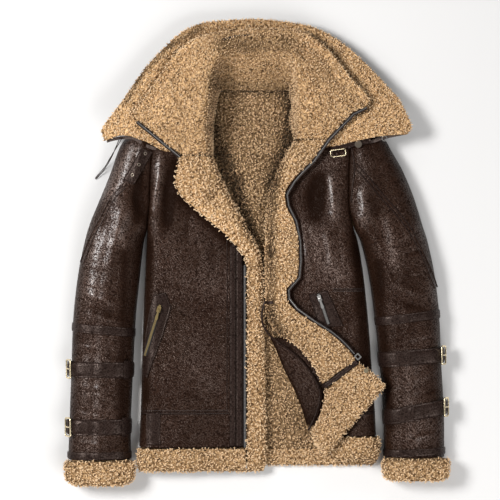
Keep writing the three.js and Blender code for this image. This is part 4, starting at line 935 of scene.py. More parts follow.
def scatter(grid, normal, density, seed, keep=None):
    """Random places on a grid's faces, evenly spread, with their normals."""
    rng = np.random.default_rng(seed)
    a, b, c, d = grid[:-1, :-1], grid[1:, :-1], grid[1:, 1:], grid[:-1, 1:]
    halves = [np.linalg.norm(np.cross(b - p, d - p), axis=-1) for p in (a, c)]
    size = (halves[0] + halves[1]) / 2
    flat = size.ravel()
    count = int(flat.sum() * density)
    total = np.cumsum(flat) / flat.sum()
    pick = np.searchsorted(total, (np.arange(count) + rng.uniform(0, 1, count)) / count)
    pick = np.minimum(pick, len(flat) - 1)
    i, j = np.unravel_index(pick, size.shape)
    u, v = rng.uniform(0, 1, (2, count, 1))

    def blend(g):
        left = g[i, j] * (1 - u) + g[i + 1, j] * u
        right = g[i, j + 1] * (1 - u) + g[i + 1, j + 1] * u
        return left * (1 - v) + right * v

    points, normals = blend(grid), unit(blend(normal))
    if keep is not None:
        chosen = keep(points)
        points, normals = points[chosen], normals[chosen]
    return points, normals


def inside(outline, points):
    """Which points lie inside an outline, seen from above."""
    x, y = points[:, 0], points[:, 1]
    hit = np.zeros(len(points), bool)
    for (x0, y0), (x1, y1) in zip(outline, np.roll(outline, -1, axis=0)):
        crosses = (y0 > y) != (y1 > y)
        with np.errstate(divide="ignore", invalid="ignore"):
            hit ^= crosses & (x < (x1 - x0) * (y - y0) / (y1 - y0) + x0)
    return hit


def rim_places(outer, inner, density, seed, sides, keep=None):
    """Places on the edge faces between two grids, for the sides that show."""
    found = []
    lines = {
        "first": (outer[0], inner[0], outer[0] - outer[2]),
        "last": (outer[-1], inner[-1], outer[-1] - outer[-3]),
        "left": (outer[:, 0], inner[:, 0], outer[:, 0] - outer[:, 2]),
        "right": (outer[:, -1], inner[:, -1], outer[:, -1] - outer[:, -3]),
    }
    for k, side in enumerate(sides):
        top, low, away = lines[side]
        away = unit(away)
        found.append(scatter(np.stack([top, low]), np.stack([away, away]), density, seed + k, keep))
    return found


def pile(name, outer, inner, size, seed, rims=(), keep=None, pale=0.0, combed=0.0):
    """Curls over a wool wall, in as many pieces as the triangle limit asks for."""
    normal = normals_of(outer, inner)
    density = LOCK_DENSITY / size**2
    places = [scatter(outer, normal, density, seed, keep)]
    places += rim_places(outer, inner, density, seed + 50, rims, keep)
    points = np.concatenate([p for p, _ in places])
    normals = np.concatenate([n for _, n in places])
    order = np.argsort(points[:, 0], kind="stable")
    chunks = np.array_split(order, max(1, math.ceil(len(order) / MOST_CURLS)))
    return [curls(f"{name}_{k + 1}" if len(chunks) > 1 else name, points[c], normals[c], seed + 90 + k, size,
                  pale=pale, combed=combed) for k, c in enumerate(chunks)]


def lumpy(outer, inner, seed):
    """The wool's ground lies below the tips of its curls, and is a little uneven."""
    normal = normals_of(outer, inner)
    wave = lattice_noise(outer[..., 0], outer[..., 1] + outer[..., 2], 9, seed)
    wave = wave + 0.6 * lattice_noise(outer[..., 0] + outer[..., 2], outer[..., 1], 4, seed + 1)
    return outer - normal * (PILE - UNEVEN * wave)[..., None]


# The ground's colour multiplier: painted light and shade, the piece's pale, and some random variation.
def store_painted_light_and_tone(obj, ground, pale):
    value = np.clip(1 + 1.6 * (painted_light_and_tone(ground.reshape(-1, 3)) + pale), 0.15, 1.6)
    store(obj, "painted_light_and_tone", np.resize(value, len(obj.data.vertices)))


def wool(name, outer, inner, size, seed, rims=(), keep=None, reverse=None, pale=0.0, combed=0.0):
    """A piece of wool: its ground as a sheet, and its curls on top."""
    ground = lumpy(outer, inner, seed)
    tufts = pile(name + "_curls", ground, inner, size, seed, rims, keep, pale, combed)
    looks = [GROUND, reverse or GROUND]
    obj = cloth(name + "_ground", name, ground, inner, looks)
    store_painted_light_and_tone(obj, ground, pale)


# Pieces
SEAM_SHADE = 8  # how far a panel is darker beside its seams


def on_floor(xs, ys):
    return np.stack([xs, np.broadcast_to(ys[:, None], xs.shape), np.zeros_like(xs)], -1)


def painted_leather_light(outer):
    """Painted light and shade at each point of a panel: painted shade in folds, at seams and beside what
    covers it, painted highlight on ridges and along the sheen lines.
    """
    x, y = outer[..., 0], outer[..., 1]
    low = np.clip(-ridges(FOLDS, x, y) / 4 - ridges(CREASES, x, y) / 2.5, 0, 1)
    high = np.clip(ridges(FOLDS, x, y) / 6 + ridges(CREASES, x, y) / 4, 0, 1)
    value = 0.42 + 0.45 * high - 0.4 * low + 0.12 * lattice_noise(x, y, 55, 14)
    for x0, y0, x1, y1, half, amount in zip(*PAINTED_SHEENS.values()):
        value = value + amount * nearness(np.array([[x0, y0, 0], [x1, y1, 0]]), outer, half)
    steps = np.linalg.norm(np.diff(outer, axis=1), axis=2)
    across = np.concatenate([np.zeros((len(outer), 1)), np.cumsum(steps, 1)], 1)
    for reach in (across, across[:, -1:] - across):
        value = value * (1 - 0.8 * np.exp(-(reach / SEAM_SHADE) ** 1.4))
    for line, half in SHADED:
        value = value * (1 - 0.75 * nearness(np.asarray(line, float), outer, half))
    return np.clip(value, 0, 1)


def untinted(obj):
    store(obj, "painted_light_and_tone", np.ones(len(obj.data.vertices)))


def leather_panel(name, source, spacing=3.4):
    outer, inner = source.grid(spacing)
    obj = cloth(name + "_hide", name, outer, inner, [LEATHER, GROUND])
    painted_share = painted_leather_light(outer)
    store(obj, "painted_shade_and_sheen", np.concatenate([painted_share, painted_share]))
    untinted(obj)


def panels():
    leather_panel("front_right", FRONT_RIGHT)
    leather_panel("front_left", FRONT_LEFT)
    leather_panel("waistband_right", WAISTBAND_RIGHT)
    leather_panel("waistband_left", WAISTBAND_LEFT)
    leather_panel("sleeve_top_right", SLEEVE_RIGHT)
    leather_panel("sleeve_top_left", SLEEVE_LEFT)
    leather_panel("front_left_turn", TURN_LEFT, spacing=3)
    for side, sleeve in (("right", SLEEVE_RIGHT), ("left", SLEEVE_LEFT)):
        name = f"sleeve_under_{side}"
        ys = np.linspace(234, sleeve.rows["y"][-1], 120)
        row = sleeve.row(ys)
        xs = row["ax"][:, None] + (row["bx"] - row["ax"])[:, None] * np.linspace(0, 1, 14)
        flat = on_floor(xs, ys)
        untinted(cloth(name + "_hide", name, flat, flat + [0, 0, BACK], [UNDER, GROUND]))


def back_grid(y_high, y_low, thick, spacing, reach=0.0, insets=None):
    rows = int((y_high - y_low) / spacing) + 2
    ys = np.linspace(y_high, y_low, rows)
    inset = np.interp(-ys, *insets) if insets else 0.0
    left = read(FRONT_RIGHT.rows, "y", "left", ys) - reach + inset
    right = read(FRONT_LEFT.rows, "y", "right", ys) + reach - inset
    xs = left[:, None] + (right - left)[:, None] * np.linspace(0, 1, int(440 / spacing))
    flat = on_floor(xs, ys)
    return flat + [0, 0, thick], flat


LINING_SEEN = np.array([
    (-64, 310), (60, 310), (62, 212), (40, 165), (24, 120), (24, -100), (46, -160), (72, -210), (98, -262),
    (112, -320), (140, -372), (140, -410), (4, -410), (0, -80), (-4, 8), (-22, 50), (-62, 120), (-84, 185),
    (-80, 250),
], float)


def backs():
    def seen(points):
        return inside(LINING_SEEN, points)

    def hem_seen(points):
        return (points[:, 0] > 0) & (points[:, 0] < 236)

    # A negative pale darkens the lining: painted shade under the collar and fronts that stand over it.
    outer, inner = back_grid(NECK_SEAM, YOKE_SEAM, BACK, spacing=4, insets=([-NECK_SEAM, -289], [46, 0]))
    wool("back_yoke", outer, inner, size=0.95, seed=101, rims=("first",), keep=seen, reverse=UNDER,
         pale=-0.18)
    outer, inner = back_grid(YOKE_SEAM - 0.3, -376, BACK, spacing=4.4)
    wool("back_body", outer, inner, size=1.0, seed=111, keep=seen, reverse=UNDER, pale=-0.22)
    insets = [376.4, 388, 399, 407], [4, 0, 2, 9]
    outer, inner = back_grid(-376.4, -407, HEM_BACK, spacing=3.4, reach=6, insets=insets)
    wool("hem_back", outer, inner, size=0.95, seed=121, rims=("last",), keep=hem_seen, reverse=UNDER)


def edges():
    for name, source, size, rims, pale in (
        ("hem_right", HEM_RIGHT, 1.15, ("last", "left"), 0.03),
        ("hem_left", HEM_LEFT, 1.15, ("last", "right"), 0.03),
        ("facing_right", FACING_RIGHT, 1.2, ("left", "last", "first"), 0.1),
        ("facing_left", FACING_LEFT, 1.08, ("left",), 0.02),
        ("hem_corner_left", HEM_CORNER, 1.0, ("right", "last"), 0.06),
    ):
        outer, inner = source.grid(3.6, inset=1.2)
        wool(name, outer, inner, size, len(name) * 7 + 200, rims, pale=pale, combed=0.15)


# Long soft valleys and crests of the collars.
INNER_CREASES = table(
    "x0 y0 x1 y1 half height",
    (-128, 388, -160, 345, 7, -5),
    (-158, 350, -190, 300, 7, -6),
    (-186, 304, -212, 262, 7, -5),
    (-112, 380, -142, 330, 8, 3),
    (-140, 335, -172, 280, 9, 3.5),
    (-108, 330, -128, 250, 9, -2.5),
    (112, 382, 142, 340, 7, -5),
    (138, 345, 166, 300, 7, -5),
    (120, 330, 134, 262, 9, 3),
    (60, 250, 130, 330, 10, -2.5),
)
OUTER_CREASES = table(
    "x0 y0 x1 y1 half height",
    (-150, 400, -205, 335, 9, 2.5),
    (-205, 335, -262, 262, 9, 2.5),
    (150, 398, 208, 335, 9, 2.5),
    (210, 334, 262, 268, 9, 2.5),
)


def raised(outer, inner, lift):
    """Moves the outer surface up or down, and its back with it by half."""
    up = np.zeros_like(outer)
    up[..., 2] = lift
    return outer + up, inner + 0.5 * up


def collars():
    outer, inner = collar_grid(INNER_COLLAR, STAND_UNDER, across=58, down=190)
    outer, inner = raised(outer, inner, ridges(INNER_CREASES, outer[..., 0], outer[..., 1]))
    rim = outer[::4, 0]
    outline = np.concatenate([outer[:, 4, :2], outer[-1, :, :2], outer[::-1, 40, :2], outer[0, ::-1, :2]])
    wool("collar_inner", outer, inner, size=1.0, seed=301, rims=("left", "first"), reverse=TRIM,
         pale=0.13, combed=0.6)
    outer, inner = collar_grid(OUTER_COLLAR, FLAT_UNDER, across=40, down=210)
    trough = nearness(rim, outer, 6.5)
    outer, inner = raised(outer, inner, ridges(OUTER_CREASES, outer[..., 0], outer[..., 1]) - 5.5 * trough)

    # Curls are left out along the inner collar's rim, so the darker ground shows there as painted shade in
    # the gap between the collars.
    def seen(points):
        return ~inside(outline, points) & ((nearness(rim, points, 6.0) < 0.9) | (points[:, 1] > 390))

    wool("collar_outer", outer, inner, size=0.98, seed=311, rims=("left",), keep=seen, reverse=TRIM,
         pale=0.24, combed=0.5)


CUFF_SIDES = 120
HOLE_IN = 20  # how far the hole's ends lie inside the cuff's
HOLE_LOW = 13
HOLE_HIGH = CUFF_HIGH - 16
CUFF_PALE = 0.02


def cuff_loops(x_low, x_high, top, y_low, drawn_in):
    """Loops of a cuff from its top, over its outside and rim, and back up its hole."""
    middle, half = (x_low + x_high) / 2, (x_high - x_low) / 2
    angle = np.linspace(0, 2 * np.pi, CUFF_SIDES + 1)
    c, s = np.cos(angle), np.sin(angle)
    across = np.sign(c) * np.abs(c) ** 0.62
    rise = np.sign(s) * np.abs(s) ** 0.75

    def loop(y, inset, size, low, high):
        x = middle + (size - inset) * across
        z = (low + high) / 2 + ((high - low) / 2 - inset) * rise
        return np.stack([x, np.full_like(x, y), np.maximum(z, low)], -1)

    def out(y, inset, narrower=0.0):
        return loop(y, inset, half - narrower, 0, CUFF_HIGH)

    def hole(y, inset, narrower=0.0):
        return loop(y, inset, half - HOLE_IN - narrower, HOLE_LOW, HOLE_HIGH)

    y_middle = (top + y_low) / 2
    outside = smooth_loops([
        out(top, 5), out(top - 6, 0), out(y_middle, 0),
        out(y_low + 14, 0, 0.16 * drawn_in), out(y_low + 5, 4, 0.5 * drawn_in), out(y_low, 12, drawn_in),
    ], 28)
    hollow = smooth_loops([hole(y_low, 0, drawn_in), hole(y_middle, 2), hole(top, 1)], 12)
    return outside, hollow


def smooth_loops(loops, count):
    loops = np.array(loops)
    t = np.linspace(0, 1, count)
    return np.stack([smooth_line(loops[:, j], t) for j in range(loops.shape[1])], 1)


def cuffs():
    for name, x_low, x_high, top, y_low, drawn_in, seed in (
        ("cuff_right", -370.8, -233.8, -396, -446, 12, 401),
        ("cuff_left", 234.2, 365.5, -391.2, -436.5, 3, 411),
    ):
        outside, hollow = cuff_loops(x_low, x_high, top, y_low, drawn_in)
        rim = np.stack([outside[-1], (outside[-1] + hollow[0]) / 2 + [0, -1.5, 0], hollow[0]])
        centre = np.array([(x_low + x_high) / 2, 0, 28])
        skin = np.concatenate([outside, rim[1:2], hollow])
        away = skin - centre
        away[..., 1] = 0
        normal = unit(np.cross(np.gradient(skin, axis=0), np.gradient(skin, axis=1)))
        if (normal[5] * away[5]).sum() < 0:
            normal = -normal
        ground = skin - normal * PILE
        ground[..., 2] = np.maximum(ground[..., 2], 0.2)
        points, normals = scatter(ground, normal, CUFF_DENSITY, seed, keep=lambda p: p[:, 2] > 3.5)
        tufts = curls(name + "_curls", points, normals, seed + 5, CUFF_LOCK, pale=CUFF_PALE)
        rows, columns = ground.shape[:2]
        first = np.arange(columns)
        last = first + (rows - 1) * columns
        closing = np.stack([first[:-1], first[1:], last[1:], last[:-1]], -1)
        faces = np.concatenate([grid_faces(rows, columns), closing[:, ::-1]])
        obj = make(name + "_ground", ground.reshape(-1, 3), faces, [GROUND],
                   stands_for=(name,))
        store_painted_light_and_tone(obj, ground, CUFF_PALE)


# What lies on a panel is made from its points, moved out.
def on_band(source, x, y, lift):
    step = 1.5
    z = source.height(x, y)
    slope_x = (source.height(x + step, y) - source.height(x - step, y)) / (2 * step)
    slope_y = (source.height(x, y + step) - source.height(x, y - step)) / (2 * step)
    normal = unit(np.stack([-slope_x, -slope_y, np.ones_like(slope_x)], -1))
    return np.stack([x, y, z], -1) + normal * lift, normal


def patch_grid(source, plan, thick, lift):
    plan = np.asarray(plan, float)
    low, normal = on_band(source, plan[..., 0], plan[..., 1], lift)
    return low + normal * thick, low


def domed(outer, inner, drop=0.55):
    """Turns the long edges of a strip down, so that it looks folded over and not cut."""
    outer = outer.copy()
    across = np.linspace(-1, 1, outer.shape[1])
    share = (np.abs(across) ** 6)[None, :, None]
    return outer * (1 - drop * share) + inner * drop * share


def between(left, right, columns, rows):
    t = np.linspace(0, 1, rows + 1)
    lines = []
    for line in (left, right):
        line = np.array(line, float)
        place = t * (len(line) - 1)
        lines.append(np.stack([np.interp(place, np.arange(len(line)), line[:, c]) for c in (0, 1)], -1))
    share = np.linspace(0, 1, columns + 1)[None, :, None]
    return lines[0][:, None] * (1 - share) + lines[1][:, None] * share


def strip(name, outer, inner, look, stands_for=()):
    rows, columns = outer.shape[:2]
    faces = np.concatenate(wall_faces(rows, columns))
    points = np.concatenate([outer.reshape(-1, 3), inner.reshape(-1, 3)])
    make(name, points, faces, [look], stands_for=stands_for)


def trim(node, outer, inner):
    """A strip of trim leather in place of its solid, with its long edges turned down."""
    strip(node + "_hide", domed(outer, inner), inner, TRIM, (node,))


def strap_grid(source, y_left, y_right, width, thick, lift, start, end, along=64, doubled=0):
    share = start + (end - start) * (1 - np.cos(np.linspace(0, np.pi, along))) / 2
    side = np.linspace(0.5, -0.5, 9)[:, None]
    row = source.row(y_left + (y_right - y_left) * share[None] + side * width)
    s = share[None] * np.hypot(row["bx"] - row["ax"], row["by"] - row["ay"])
    points, normal = source.surface(row, s)
    extra = 0.0
    if doubled:
        way = np.clip(((1 - share if doubled > 0 else share) - 0.12) / 0.18, 0, 1)
        extra = (FOLDED * (1 - way * way * (3 - 2 * way)))[None, :, None]
    outer, inner = points + normal * (lift + thick + extra), points + normal * lift
    return outer.transpose(1, 0, 2), inner.transpose(1, 0, 2)


def straps():
    for name, source, y_left, y_right, width, thick, lift, start, end, doubled in (
        ("elbow_band_right", SLEEVE_RIGHT, -142.5, -153.9, 16, 1.4, LIFT, 0, 1, 0),
        ("elbow_band_left", SLEEVE_LEFT, -132.5, -118, 16, 1.4, LIFT, 0, 1, 0),
        ("cuff_strip_right", SLEEVE_RIGHT, -387, -387, 13, 1.6, LIFT, 0, 1, 0),
        ("cuff_strip_left", SLEEVE_LEFT, -383, -379, 13, 1.6, LIFT, 0, 1, 0),
        ("upper_strap_right", SLEEVE_RIGHT, -222.5, -225, STRAP_WIDTH, STRAP_THICK, LIFT, 0, 1, -1),
        ("lower_strap_right", SLEEVE_RIGHT, -333, -332.5, STRAP_WIDTH, STRAP_THICK, LIFT, 0, 1, -1),
        ("upper_strap_left", SLEEVE_LEFT, -205, -196, STRAP_WIDTH, STRAP_THICK, LIFT, 0, 1, 1),
        ("lower_strap_left", SLEEVE_LEFT, -315, -294.5, STRAP_WIDTH, STRAP_THICK, LIFT, 0, 1, 1),
        ("upper_keeper_right", SLEEVE_RIGHT, -223, -224.8, 37, 1.6, 3.5, 0.86, 0.93, 0),
        ("lower_keeper_right", SLEEVE_RIGHT, -333, -332.6, 37, 1.6, 3.5, 0.86, 0.93, 0),
    ):
        trim(name, *strap_grid(source, y_left, y_right, width, thick, lift, start, end, doubled=doubled))
    trim("fold_tab_left", *strap_grid(FACING_LEFT, 12.3, 12.3, 0.26, 1.6, LIFT, 0.03, 0.36, along=24))


JOINED_RIGHT = Band({name: np.concatenate([FRONT_RIGHT.rows[name], WAISTBAND_RIGHT.rows[name][1:]])
                     for name in FRONT_RIGHT.rows}, PANEL, soft=1.0)


def patches():
    for name, left, right, top, low, thick, lift in (
        ("placket_strip_outer", -54, -44.5, 14, -370, 2, 0.5),
        ("placket_strip_inner", -42, -32.5, 6, -370, 2, 0.5),
        ("waist_tab_right", -212, -187, -303, -366, 2.6, 0.8),
    ):
        plan = between([[left, top], [left, low]], [[right, top], [right, low]], 8, int((top - low) / 4))
        trim(name, *patch_grid(JOINED_RIGHT, plan, thick, lift))
    edges_seen = [on_panel(JOINED_RIGHT, [(x, 10), (x, -120), (x, -368)], 2.2, 4)[0]
                  for x in (-54, -44.5, -42, -32.5)]
    piping("placket_edges", edges_seen, 0.7)
    plan = between(
        [[-199, -84], [-204, -100], [-209, -125], [-213, -152], [-215.5, -180], [-217, -208], [-218, -238]],
        [[-178, -77], [-167, -104], [-173, -125], [-181, -152], [-191, -180], [-201, -208], [-211, -238]],
        12, 50)
    outer, inner = patch_grid(FRONT_RIGHT, plan, 1.5, 0.6)
    trim("pocket_frame_right", outer, inner)
    piping("pocket_welt_right", [outer[:, -1], outer[0]], 0.9)
    plan = between([[97, -82], [104, -105], [111, -129], [117, -143]],
                   [[130, -74], [141, -98], [152, -122], [160, -140]], 14, 30)
    outer, inner = patch_grid(FRONT_LEFT, plan, 1.5, 0.6)
    trim("pocket_frame_left", outer, inner)
    piping("pocket_welt_left", [outer[:, 0], outer[:, -1], outer[0]], 0.9)
    plan = between([[-221, 196], [-255.5, 137]], [[-202.5, 190], [-237, 129]], 10, 30)
    outer, inner = patch_grid(SLEEVE_RIGHT, plan, 1.6, LIFT)
    trim("eyelet_tab_right", outer, inner)
    piping("eyelet_tab_edges", [outer[:, 0], outer[:, -1], outer[-1]], 0.9)


def ribbon_grid(line, offset, width, thick, columns=4):
    line = np.asarray(line, float)
    along = np.gradient(line[:, :2], axis=0)
    side = unit(np.stack([along[:, 1], -along[:, 0], np.zeros(len(line))], -1))
    outer = line[:, None] + side[:, None] * np.linspace(offset, offset + width, columns)[None, :, None]
    return outer, outer - [0, 0, thick]


def fine_line(points, spacing=4.0, smooth=False):
    points = np.asarray(points, float)
    if smooth:
        points = smooth_line(points, np.linspace(0, 1, 12 * len(points)))
    steps = np.linalg.norm(np.diff(points, axis=0), axis=1)
    reach = np.concatenate([[0], np.cumsum(steps)])
    count = max(2, int(reach[-1] / spacing) + 1)
    at = np.linspace(0, reach[-1], count)
    return np.stack([np.interp(at, reach, points[:, c]) for c in range(3)], -1)


COLLAR_EDGE_LEFT = ((203, 275.5, 62), (177.6, 263, 62), (150, 234.4, 61), (131, 214.5, 59))
COLLAR_EDGE_RIGHT = ((-226, 250, 62), (-185.5, 217, 62), (-146, 184.6, 62))


def facing_edge():
    rows = FACING_LEFT.rows
    return np.stack([rows["bx"], rows["by"], rows["zRight"] - 3.2], -1)[1:-1]


def boxes(name, centres, frames, size, look):
    """Small blocks at centres, each turned by its own frame, joined into one mesh."""
    ends = (-0.5, 0.5)
    corner = np.array([(x, y, z) for x in ends for y in ends for z in ends]) * size
    sides = [(0, 1, 3, 2), (4, 6, 7, 5), (0, 4, 5, 1), (2, 3, 7, 6), (0, 2, 6, 4), (1, 5, 7, 3)]
    points = centres[:, None] + np.einsum("kc,nca->nka", corner, frames)
    faces = (np.array(sides)[None] + 8 * np.arange(len(centres))[:, None, None]).reshape(-1, 4)
    make(name, points.reshape(-1, 3), faces, [look], smooth=False)


def frames_along(line, up=None):
    """Frames (along, across, up) at the points of a line."""
    along = unit(np.gradient(line, axis=0))
    up = np.broadcast_to([0.0, 0, 1], along.shape) if up is None else up
    across = unit(np.cross(up, along))
    return np.stack([along, across, np.cross(along, across)], 1)


def teeth(name, line, look, size=(1.3, 2.6, 1.5), pitch=2.5):
    line = fine_line(line, pitch)
    boxes(name, line + [0, 0, TOOTH_LIFT], frames_along(line), np.array(size), look)


SEAMS = (
    # name, panel, points, piping radius, offset of a second line, stitches beside it
    ("seam_sleeve_right", SLEEVE_RIGHT,
     [(-253, 122), (-275, 98), (-292, 66), (-309, 36), (-322, 6), (-333, -22)], 1.3, 7, 0),
    ("seam_sleeve_left", SLEEVE_LEFT,
     [(180, 163), (206, 134), (235, 99), (257, 75), (286, 36), (313, -16), (336, -70)], 1.3, -7, 0),
    ("seam_shoulder_left", SLEEVE_LEFT, [(176, 205), (182, 160), (178, 120), (176, 96)], 1.2, 0, 0),
    ("seam_pocket_left", FRONT_LEFT, [(142, -72), (170, -72.5), (203, -72)], 0.8, 0, 2.4),
    ("seam_side_right", FRONT_RIGHT, [(-66, 96), (-62, 60), (-60, 0), (-60, -150), (-60, -306)], 0.7, 0, 0),
    ("seam_waist_right", JOINED_RIGHT, [(-224, -303.5), (-150, -304), (-58, -304)], 0.9, 0, 3),
    ("seam_waist_left", FRONT_LEFT, [(146, -304.5), (180, -304.5), (222, -304.5)], 0.9, 0, 3),
    ("seam_placket", JOINED_RIGHT, [(-31, 0), (-30.8, -150), (-30.8, -368)], 0.8, 0, 0),
)


def on_panel(source, points, lift, spacing=3.0):
    """Places and normals along a smooth line on a panel."""
    line = fine_line([(x, y, 0) for x, y in points], spacing, smooth=True)
    return on_band(source, line[:, 0], line[:, 1], lift)


def beside(points, offset):
    points = np.asarray(points, float)
    along = unit(np.gradient(points, axis=0))
    return points + offset * np.stack([along[:, 1], -along[:, 0]], -1)


def seams():
    for name, source, points, radius, second, stitch in SEAMS:
        lines = [points] + ([beside(points, second)] if second else [])
        piping(name, [on_panel(source, line, 0.45)[0] for line in lines], radius)
        for side in (-stitch, stitch) if stitch else ():
            stitches(f"{name}_thread_{'low' if side < 0 else 'high'}", source, beside(points, side))


def joined(parts):
    """Points and faces of several small meshes, as one mesh."""
    starts = np.cumsum([0] + [len(points) for points, _ in parts])
    faces = np.concatenate([faces + start for (_, faces), start in zip(parts, starts)])
    return np.concatenate([points for points, _ in parts]), faces


def piping(name, lines, radius):
    """Cords sewn into seams, joined into one mesh."""
    points, faces = joined([tube(line, radius, 6) for line in lines])
    make(name, points, faces, [TRIM])


def stitches(name, source, points):
    places, normal = on_panel(source, points, 0.5, 3.4)
    boxes(name, places, frames_along(places, normal), np.array([2.3, 0.8, 0.6]), THREAD)


def eyelets():
    rings = []
    angle = np.linspace(0, 2 * np.pi, 18, endpoint=False)
    for x, y in ((-215.5, 187), (-227, 165.5), (-238.5, 146)):
        place, normal = on_band(SLEEVE_RIGHT, np.array([x]), np.array([y]), LIFT + 1.8)
        flat = np.stack([np.cos(angle), np.sin(angle)], -1) * 2.6
        side = unit(np.cross([0.0, 1, 0], normal[0]))
        other = np.cross(normal[0], side)
        rings.append(tube(place[0] + flat[:, :1] * side + flat[:, 1:] * other, 0.8, 6, loop=True))
    points, faces = joined(rings)
    make("eyelets_right", points, faces, [DARK_METAL])


ZIP_TOOTH = (1.3, 1.9, 1.3)
TOOTH_LIFT = 0.7
TAPE_THICK = 1.6
RIGHT_TAPE_HIGH = 31.5


def turn_edge():
    """The piped edge of the turned front: from its tab down round the leather patch."""
    line = [(12.5, -93, 42), (7, -112, 41), (8, -136, 40), (21, -158, 36), (48, -179, 31), (74, -200, 29),
            (97, -226, 30), (113, -254, 32), (117, -268, 32), (115, -290, 31), (106, -318, 28),
            (95, -340, 25)]
    piping("turn_edge_left", [fine_line(line, 4, smooth=True)], 2.0)


def main_zips():
    ys = np.linspace(-26, -371, 90)
    high = np.full_like(ys, RIGHT_TAPE_HIGH)
    edge_x = np.interp(-ys, [26, 371], [-23.9, -22.9])
    lines = [np.full_like(ys, x) for x in (-29.1, -27, -25)] + [edge_x]
    outer = np.stack([np.stack([x, ys, high], -1) for x in lines], 1)
    strip("zip_tape_right_weave", outer, outer - [0, 0, TAPE_THICK], TAPE, ("zip_tape_right",))
    teeth("zip_teeth_right", np.stack([(edge_x - 28.6) / 2, ys, high], -1), NICKEL)
    for name, line, offset in (
        ("left", np.concatenate([COLLAR_EDGE_LEFT, facing_edge()]), -5.6),
        ("collar_right", COLLAR_EDGE_RIGHT, 3.2),
    ):
        outer, inner = ribbon_grid(line, offset, width=4.8, thick=TAPE_THICK)
        strip(f"zip_tape_{name}_weave", outer, inner, TAPE, (f"zip_tape_{name}",))
        teeth(f"zip_teeth_{name}", (outer[:, 1] + outer[:, 2]) / 2, NICKEL, size=ZIP_TOOTH)
        piping(f"zip_edge_{name}", [outer[:, 0] - [0, 0, 0.4], outer[:, -1] - [0, 0, 0.4]], 1.0)


def pocket_zips():
    for side, source, top, low, look, slot in (
        ("right", FRONT_RIGHT, (-187, -101), (-213, -196), OLD_BRASS, "old_brass"),
        ("left", FRONT_LEFT, (114, -80), (133, -136), NICKEL, "nickel"),
    ):
        plan = between([[top[0] - 3.4, top[1]], [low[0] - 3.4, low[1]]],
                       [[top[0] + 3.4, top[1]], [low[0] + 3.4, low[1]]], 3, 30)
        outer, inner = patch_grid(source, plan, 1.2, 2.5)
        strip(f"pocket_zip_{side}_weave", outer, inner, TAPE, (f"pocket_zip_{side}",))
        teeth(f"pocket_teeth_{side}", outer[:, 1:3].mean(1), look, size=(1.4, 4.2, 1.2), pitch=1.9)
        for piece in ("slider", "pull"):
            give_finish(f"pocket_{piece}_{side}", look)


def give_finish(node, look):
    """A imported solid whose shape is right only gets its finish."""
    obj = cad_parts[node]
    obj.data.materials.clear()
    obj.data.materials.append(look)


def tube(line, radius, sides=8, loop=False):
    line = np.asarray(line, float)
    if loop:
        along = np.roll(line, -1, 0) - np.roll(line, 1, 0)
    else:
        along = np.gradient(line, axis=0)
    along = unit(along)
    across = unit(np.cross([0.0, 0, 1], along))
    third = np.cross(along, across)
    angle = np.linspace(0, 2 * np.pi, sides, endpoint=False)[None, :, None]
    ring = line[:, None] + radius * (np.cos(angle) * across[:, None] + np.sin(angle) * third[:, None])
    count = len(line)
    k = np.arange(count * sides).reshape(count, sides)
    nxt = np.roll(k, -1, 0) if loop else k[1:]
    cur = k if loop else k[:-1]
    faces = np.stack([cur, nxt, np.roll(nxt, -1, 1), np.roll(cur, -1, 1)], -1).reshape(-1, 4)
    return ring.reshape(-1, 3), faces


CORNER_STEPS = 6


def rounded_loop(wide, tall, corner):
    points = []
    x, y = wide / 2 - corner, tall / 2 - corner
    for quarter, (cx, cy) in enumerate(((x, y), (-x, y), (-x, -y), (x, -y))):
        for k in range(CORNER_STEPS + 1):
            angle = (quarter + k / CORNER_STEPS) * np.pi / 2
            points.append((cx + corner * math.cos(angle), cy + corner * math.sin(angle), 0))
    return np.array(points)


def buckle(name, wide, tall, bar, prong, seat):
    """A wire frame with its prong, set down by a frame (x, y, normal, place)."""
    x, y, z, place = seat
    parts = [tube(rounded_loop(wide - bar, tall - bar, 3.4), bar / 2, 10, loop=True)]
    if prong:
        line = [(-wide / 2 + bar, 0, 0.4), (0, 0, 0.9), (wide / 2 - bar / 2, 0, 1.1)]
        parts.append(tube(line, prong / 2, 8))
    points, faces = joined(parts)
    placed = place + points[:, :1] * x + points[:, 1:2] * y + points[:, 2:] * z
    make(name + "_frame", placed, faces, [PALE_BRASS], stands_for=(name,))


def seat_on(source, y, from_end, at_right, lift):
    row = {key: value[0] for key, value in source.row(np.array([y])).items()}
    s = row["bx"] - row["ax"] - from_end if at_right else from_end
    point, z = source.surface({k: np.array([v]) for k, v in row.items()}, np.array([s]))
    point, z = point[0], z[0]
    y_axis = unit(np.array([0.0, 1, 0]) - z * z[1])
    return np.cross(y_axis, z), y_axis, z, point + z * lift


END_WIDE = 7.6  # half widths of the folded end
END_TALL = 14
END_THICK = 3


def strap_end(name, seat):
    """The end of a strap, which lies folded round the bar inside its buckle."""
    x, y, z, place = seat
    u = np.linspace(-END_WIDE, END_WIDE, 13)[:, None, None]
    v = np.linspace(END_TALL, -END_TALL, 9)[None, :, None]
    outer = place + x * u + y * v + z * (0.9 - 0.05 * u * u)
    inner = outer - z * END_THICK
    strip(name, domed(outer, inner, 0.4), inner, TRIM)


BUCKLE_RISE = 1.9  # middle of the frame above the folded strap


